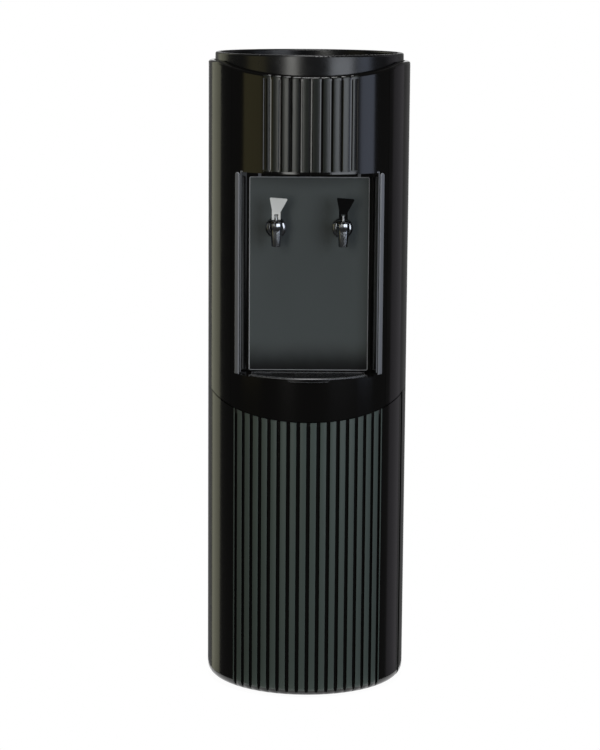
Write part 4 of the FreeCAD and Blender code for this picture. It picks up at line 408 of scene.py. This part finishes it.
FAUCETS_ACROSS = 52.0
SPOUT_FORWARD = -126.0
SHANK_HEIGHT = 746.0
SPOUT = ((4.4, 723.0), (4.8, 720.6), (6.4, 720.0), (7.2, 720.9), (7.6, 726.0), (9.3, 744.0), (9.3, 746.0),
         (10.2, 747.5), (10.6, 754.5), (10.0, 757.0), (2.8, 757.0), (2.8, 740.8))
SHANK = ((7.5, 70.0), (7.5, 90.0), (7.5, 96.6), (9.4, 97.2), (9.4, 107.0), (8.0, 109.0), (8.0, 121.0))
ROSETTE = ((16.5, 91.5), (16.5, 92.6), (15.7, 93.9), (13.2, 95.4), (11.2, 96.1), (10.8, 95.2), (9.6, 95.0))
CAP = ((11.2, 757.0), (12.0, 757.7), (12.0, 759.2), (11.2, 760.4), (9.6, 761.0), (4.4, 761.0), (2.8, 760.2),
       (2.8, 757.1))
caps, rosettes = [], []
for word, across, paddle_finish in (("left", -FAUCETS_ACROSS, white), ("right", FAUCETS_ACROSS, matt)):
    spout = bevel(turned(word + "_spout", (across, SPOUT_FORWARD, 0), SPOUT, chrome, 10), 0.5 * MM)
    shank = turned(word + "_shank", (across, 0, SHANK_HEIGHT), SHANK, chrome, 40, "y")
    body = one_piece(word + "_faucet_body_detailed", [spout, shank])
    fit(body, "cabinet", word + "_faucet_body")
    rosettes.append(turned(word + "_rosette", (across, 0, SHANK_HEIGHT), ROSETTE, chrome, 64, "y"))
    caps.append(turned(word + "_cap", (across, SPOUT_FORWARD, 0), CAP, moulded, 64))
    fit(soften(word + "_faucet_lever", 0.9 * MM, paddle_finish), word + "_paddle", word + "_faucet_lever")
fit(one_piece("faucet_rosettes_detailed", rosettes), "cabinet", "faucet_rosettes")
fit(one_piece("faucet_caps_detailed", caps), "cabinet", "faucet_caps")

# ---- Cabinet floor, deck and fittings inside ----
# A moulded base pan on four rubber feet carries the bottle's platform, a liner keeps the bottle
# from the wall, and a steel deck over it carries the pump, the compressor and the hot tank.
# Grained polypropylene: dark grey, with the leathery grain of a tool 1.6 mm from bump to bump.
grained, tree, shader, place = start_finish("grained_polypropylene", "#26272A", 0.5)
leather = add(tree, "ShaderNodeTexVoronoi", {"feature": "SMOOTH_F1"}, {"Vector": place,
                                                                       "Scale": 1 / (1.6 * MM)})
grain = add(tree, "ShaderNodeBump", None, {"Height": leather.outputs["Distance"], "Strength": 0.6,
                                           "Distance": 0.08 * MM})
tree.links.new(grain.outputs[0], shader.inputs["Normal"])
dress(grained, "base_pan", "compartment_liner", "shank_nuts", "drain_fitting", "condenser_clips")
for name, width in (("bottle_platform", 0.8), ("probe_holder", 0.6), ("control_box", 0.8),
                    ("power_inlet", 0.4), ("rocker_switches", 0.4)):
    fit(soften(name, width * MM, grained), "cabinet", name)
# Natural polyethylene: milky and waxy, as food-grade probes and fittings are.
natural, tree, shader, place = start_finish("natural_polyethylene", "#DADCD6", 0.45)
shader.inputs["Subsurface Weight"].default_value = 0.15
cloud = add(tree, "ShaderNodeTexNoise", None, {"Vector": place, "Scale": 1 / (18 * MM), "Detail": 2.0})
gloss = add(tree, "ShaderNodeMapRange", None, {"Value": cloud.outputs[0], "To Min": 0.36, "To Max": 0.54})
tree.links.new(gloss.outputs[0], shader.inputs["Roughness"])
fit(soften("bottle_probe", 0.8 * MM, natural), "probe", "bottle_probe")
fit(soften("hose_fitting", 0.5 * MM, natural), "cabinet", "hose_fitting")
# Switch caps: glossy red for heating and green for cooling, plain, with no marks.
for word, paint in (("heat", "#A8231B"), ("cool", "#1E7A3C")):
    switch_cap, tree, shader, place = start_finish(word + "_switch_cap", paint, 0.25)
    flow = add(tree, "ShaderNodeTexNoise", None, {"Vector": place, "Scale": 1 / (5 * MM), "Detail": 2.0})
    gloss = add(tree, "ShaderNodeMapRange", None, {"Value": flow.outputs[0], "To Min": 0.18, "To Max": 0.32})
    tree.links.new(gloss.outputs[0], shader.inputs["Roughness"])
    fit(soften(word + "_rocker", 0.4 * MM, switch_cap), word + "_switch_rocker", word + "_rocker")
# Zinc plate: dull blue-white steel with a faint spangle 3 mm across.
zinc, tree, shader, place = start_finish("zinc_plated_steel", "#9A9C9E", 0.35, 1.0)
spangle = add(tree, "ShaderNodeTexVoronoi", None, {"Vector": place, "Scale": 1 / (3 * MM)})
gloss = add(tree, "ShaderNodeMapRange", None, {"Value": spangle.outputs["Distance"], "To Min": 0.28,
                                               "To Max": 0.45})
tree.links.new(gloss.outputs[0], shader.inputs["Roughness"])
dress(zinc, "door_strike", "hinge_brackets", "tank_bracket", "support_posts", "mid_deck")
# Six pan-head screws hold the rear panel: a domed head with a drive socket on a plain shank.
SCREWS_ACROSS = 97.0
SCREW_HEIGHTS = (530.0, 720.0, 910.0)
SCREW = ((1.1, -118.9), (1.5, -120.2), (2.2, -120.4), (3.1, -119.8), (3.5, -119.0), (3.5, -118.4),
         (1.5, -118.4), (1.5, -109.9))
screws = [turned("panel_screw", (across, 0, height), SCREW, zinc, 24, "y")
          for across in (-SCREWS_ACROSS, SCREWS_ACROSS) for height in SCREW_HEIGHTS]
fit(one_piece("panel_screws_detailed", screws), "cabinet", "panel_screws")
# Ferrite: a fired, slightly sparkling dark grey.
ferrite, tree, shader, place = start_finish("ferrite_magnet", "#2C2C2E", 0.6)
fired = add(tree, "ShaderNodeTexNoise", None, {"Vector": place, "Scale": 1 / (0.4 * MM), "Detail": 2.0})
gloss = add(tree, "ShaderNodeMapRange", None, {"Value": fired.outputs[0], "To Min": 0.45, "To Max": 0.75})
tree.links.new(gloss.outputs[0], shader.inputs["Roughness"])
dress(ferrite, "door_magnet")
# Rubber: matt, with the powdery bloom of mould release.
rubber, tree, shader, place = start_finish("moulded_rubber", "#18181A", 0.7)
bloom = add(tree, "ShaderNodeTexNoise", None, {"Vector": place, "Scale": 1 / (6 * MM), "Detail": 4.0})
shade = add(tree, "ShaderNodeMix", {"data_type": "RGBA"}, {0: bloom.outputs[0], 6: linear("#141416"),
                                                           7: linear("#202023")})
tree.links.new(shade.outputs[2], shader.inputs["Base Color"])
dress(rubber, "compressor_grommets")
fit(soften("base_feet", 0.8 * MM, rubber), "cabinet", "base_feet")

# ---- Water and cooling parts ----
# A cold tank in a foam jacket with an evaporator round it, a hot tank, a pump, a compressor and the
# silicone and copper tubes between them.
# Foam: pale yellow polyurethane with open cells 2 mm across.
foam, tree, shader, place = start_finish("polyurethane_foam", "#D8CDA8", 0.9)
cells = add(tree, "ShaderNodeTexVoronoi", None, {"Vector": place, "Scale": 1 / (2 * MM)})
pores = add(tree, "ShaderNodeBump", None, {"Height": cells.outputs["Distance"], "Strength": 1.0,
                                           "Distance": 0.4 * MM})
tree.links.new(pores.outputs[0], shader.inputs["Normal"])
dress(foam, "tank_insulation", "hot_tank_jacket")
# Silicone: cloudy and rubbery, with a soft shine.
silicone, tree, shader, place = start_finish("silicone_tube", "#C9CDCC", 0.4)
shader.inputs["Subsurface Weight"].default_value = 0.1
cloud = add(tree, "ShaderNodeTexNoise", None, {"Vector": place, "Scale": 1 / (14 * MM), "Detail": 2.0})
gloss = add(tree, "ShaderNodeMapRange", None, {"Value": cloud.outputs[0], "To Min": 0.32, "To Max": 0.5})
tree.links.new(gloss.outputs[0], shader.inputs["Roughness"])
# The probe's own hose is a short corrugated one, whose folds would close up as the probe is lifted; here it
# is a fixed piece. It runs straight from the probe's neck up to the fitting, with a plain cuff at each end.
HOSE_X, HOSE_Y = -72.0, 56.0
HOSE_FOOT, HOSE_TOP = 416.0, 462.0
HOSE_RADIUS, FOLD_RADIUS = 4.5, 3.7
FOLDS, FOLD_STEP = 33, 1.25
folds = [(HOSE_RADIUS if fold % 2 else FOLD_RADIUS, HOSE_FOOT + 3.0 + FOLD_STEP * fold)
         for fold in range(FOLDS)]
route = [(HOSE_RADIUS, HOSE_FOOT), (HOSE_RADIUS, HOSE_FOOT + 2.0)] + folds
route += [(HOSE_RADIUS, HOSE_TOP - 2.0), (HOSE_RADIUS, HOSE_TOP)]
hose = turned("bottle_hose_detailed", (HOSE_X, HOSE_Y, 0), route, silicone, 32)
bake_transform(hose)
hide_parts("bottle_hose")
dress(silicone, "pump_suction_tube", "tank_fill_tube", "cold_outlet_tube", "hot_feed_tube",
      "hot_outlet_tube", "drain_tube")
# Copper: bright where new and browner in patches.
copper, tree, shader, place = start_finish("drawn_copper", "#B87350", 0.3, 1.0)
patches = add(tree, "ShaderNodeTexNoise", None, {"Vector": place, "Scale": 1 / (25 * MM), "Detail": 3.0})
shade = add(tree, "ShaderNodeMix", {"data_type": "RGBA"}, {0: patches.outputs[0], 6: linear("#8F5338"),
                                                           7: linear("#C98560")})
tree.links.new(shade.outputs[2], shader.inputs["Base Color"])
dress(copper, "refrigerant_lines", "filter_drier")
# Aluminium: rolled sheet, with a brushed grain along it.
aluminium, tree, shader, place = start_finish("rolled_aluminium", "#C4C6C8", 0.35, 1.0)
stretch = add(tree, "ShaderNodeMapping", None, {"Vector": place, "Scale": (1.0, 1.0, 0.02)})
rolled = add(tree, "ShaderNodeTexNoise", None, {"Vector": stretch.outputs[0], "Scale": 1 / (0.7 * MM)})
gloss = add(tree, "ShaderNodeMapRange", None, {"Value": rolled.outputs[0], "To Min": 0.28, "To Max": 0.46})
tree.links.new(gloss.outputs[0], shader.inputs["Roughness"])
dress(aluminium, "evaporator_sleeve")
# Stove enamel: black, half gloss, with the orange peel of spraying.
enamel, tree, shader, place = start_finish("black_stove_enamel", "#101011", 0.4)
peel = add(tree, "ShaderNodeTexNoise", None, {"Vector": place, "Scale": 1 / (1.5 * MM), "Detail": 1.0})
sprayed = add(tree, "ShaderNodeBump", None, {"Height": peel.outputs[0], "Strength": 1.0,
                                             "Distance": 0.03 * MM})
tree.links.new(sprayed.outputs[0], shader.inputs["Normal"])
dress(enamel, "rear_panel", "condenser_tube", "condenser_wires")
for name, width in (("compressor", 1.2), ("water_pump", 0.8)):
    fit(soften(name, width * MM, enamel), "cabinet", name)

# ---- Studio ----
# The cooler stands on a round of white paper in a dim room with two window-like softboxes in front,
# two weak ones far to the sides and a pale wall behind, which its polished skins mirror as bands.
PAPER_RADIUS = 0.185
PAPER_GLOW = 1.12
GLOW_SHARE = 0.86
bpy.ops.object.select_all(action="DESELECT")
bpy.ops.mesh.primitive_circle_add(vertices=128, radius=PAPER_RADIUS, fill_type="NGON", location=(0, 0, 0))
floor = bpy.context.object
floor.name = "studio_paper"
paper = bpy.data.materials.new("white_paper")
paper.use_nodes = True
tree = paper.node_tree
tree.nodes.clear()
diffuse = add(tree, "ShaderNodeBsdfDiffuse", None, {"Color": linear("#F2F2F2")})
glow = add(tree, "ShaderNodeEmission", None, {"Color": (1, 1, 1, 1), "Strength": PAPER_GLOW})
path = add(tree, "ShaderNodeLightPath")
straight = add(tree, "ShaderNodeMath", {"operation": "MAXIMUM"}, {0: path.outputs["Is Camera Ray"],
                                                                  1: path.outputs["Is Glossy Ray"]})
seen_by = add(tree, "ShaderNodeMath", {"operation": "MAXIMUM"}, {0: straight.outputs[0],
                                                                 1: path.outputs["Is Transmission Ray"]})
share = add(tree, "ShaderNodeMath", {"operation": "MULTIPLY"}, {0: seen_by.outputs[0], 1: GLOW_SHARE})
mix = add(tree, "ShaderNodeMixShader", None, {0: share.outputs[0], 1: diffuse.outputs[0],
                                              2: glow.outputs[0]})
add(tree, "ShaderNodeOutputMaterial", None, {"Surface": mix.outputs[0]})
floor.data.materials.append(paper)

world = bpy.data.worlds.new("studio_room")
bpy.context.scene.world = world
world.use_nodes = True
tree = world.node_tree
tree.nodes.clear()
path = add(tree, "ShaderNodeLightPath")
direction = add(tree, "ShaderNodeTexCoord").outputs["Generated"]
axes = add(tree, "ShaderNodeSeparateXYZ", None, {"Vector": direction})
dim = add(tree, "ShaderNodeMapRange", {"interpolation_type": "SMOOTHSTEP"}, {
    "Value": axes.outputs["Y"], "From Min": 0.3, "From Max": 1.0, "To Min": 0.05, "To Max": 0.16})
# The white backdrop stands right behind the cooler; gloss and glass show it there as the camera does.
behind = add(tree, "ShaderNodeMapRange", {"interpolation_type": "SMOOTHSTEP"}, {
    "Value": axes.outputs["Y"], "From Min": 0.97, "From Max": 0.99})
mirrored = add(tree, "ShaderNodeMath", {"operation": "MAXIMUM"}, {
    0: path.outputs["Is Glossy Ray"], 1: path.outputs["Is Transmission Ray"]})
backdrop = add(tree, "ShaderNodeMath", {"operation": "MULTIPLY"}, {0: mirrored.outputs[0],
                                                                   1: behind.outputs[0]})
white_for = add(tree, "ShaderNodeMath", {"operation": "MAXIMUM"}, {0: backdrop.outputs[0],
                                                                   1: path.outputs["Is Camera Ray"]})
seen = add(tree, "ShaderNodeMath", {"operation": "MAXIMUM"}, {0: dim.outputs[0], 1: white_for.outputs[0]})
room = add(tree, "ShaderNodeBackground", None, {"Color": (1, 1, 1, 1), "Strength": seen.outputs[0]})
add(tree, "ShaderNodeOutputWorld", None, {"Surface": room.outputs[0]})


def softbox(name, azimuth, distance, foot, size, radiance, colour):
    """An upright softbox at an azimuth in degrees from the front, positive to the right."""
    lamp = bpy.data.lights.new(name, "AREA")
    lamp.shape = "RECTANGLE"
    lamp.size, lamp.size_y = size
    lamp.energy = radiance * math.pi * size[0] * size[1]
    lamp.color = linear(colour)[:3]
    holder = bpy.data.objects.new(name, lamp)
    turn = math.radians(azimuth)
    height = foot + size[1] / 2
    holder.matrix_world = (Matrix.Rotation(turn, 4, "Z") @ Matrix.Translation((0, -distance, height))
                           @ Matrix.Rotation(math.radians(90), 4, "X"))
    bpy.context.scene.collection.objects.link(holder)
    return holder


softbox("left_window", -22, 3.0, 0.3, (0.7, 1.8), 4.6, "#FFFFFA")
softbox("right_window", 38, 3.0, 0.3, (1.5, 1.8), 3.6, "#F0F6FF")
softbox("far_left_softbox", -66, 2.2, 0.22, (0.95, 1.15), 0.42, "#FFF0A8")
softbox("far_right_softbox", 67, 2.2, 0.22, (0.7, 1.15), 1.4, "#D8E4FF")
softbox("left_wall_light", -131, 2.0, -0.6, (0.9, 3.0), 0.6, "#FFFFDC")
softbox("right_wall_light", 120, 2.0, -0.6, (0.9, 3.0), 0.16, "#F8F0FF")
overhead = softbox("overhead_softbox", 0, 0.7, 2.9, (1.2, 0.9), 9.0, "#FFFFFF")
overhead.matrix_world = Matrix.Translation((0, -0.7, 2.9)) @ Matrix.Rotation(math.radians(-14), 4, "X")
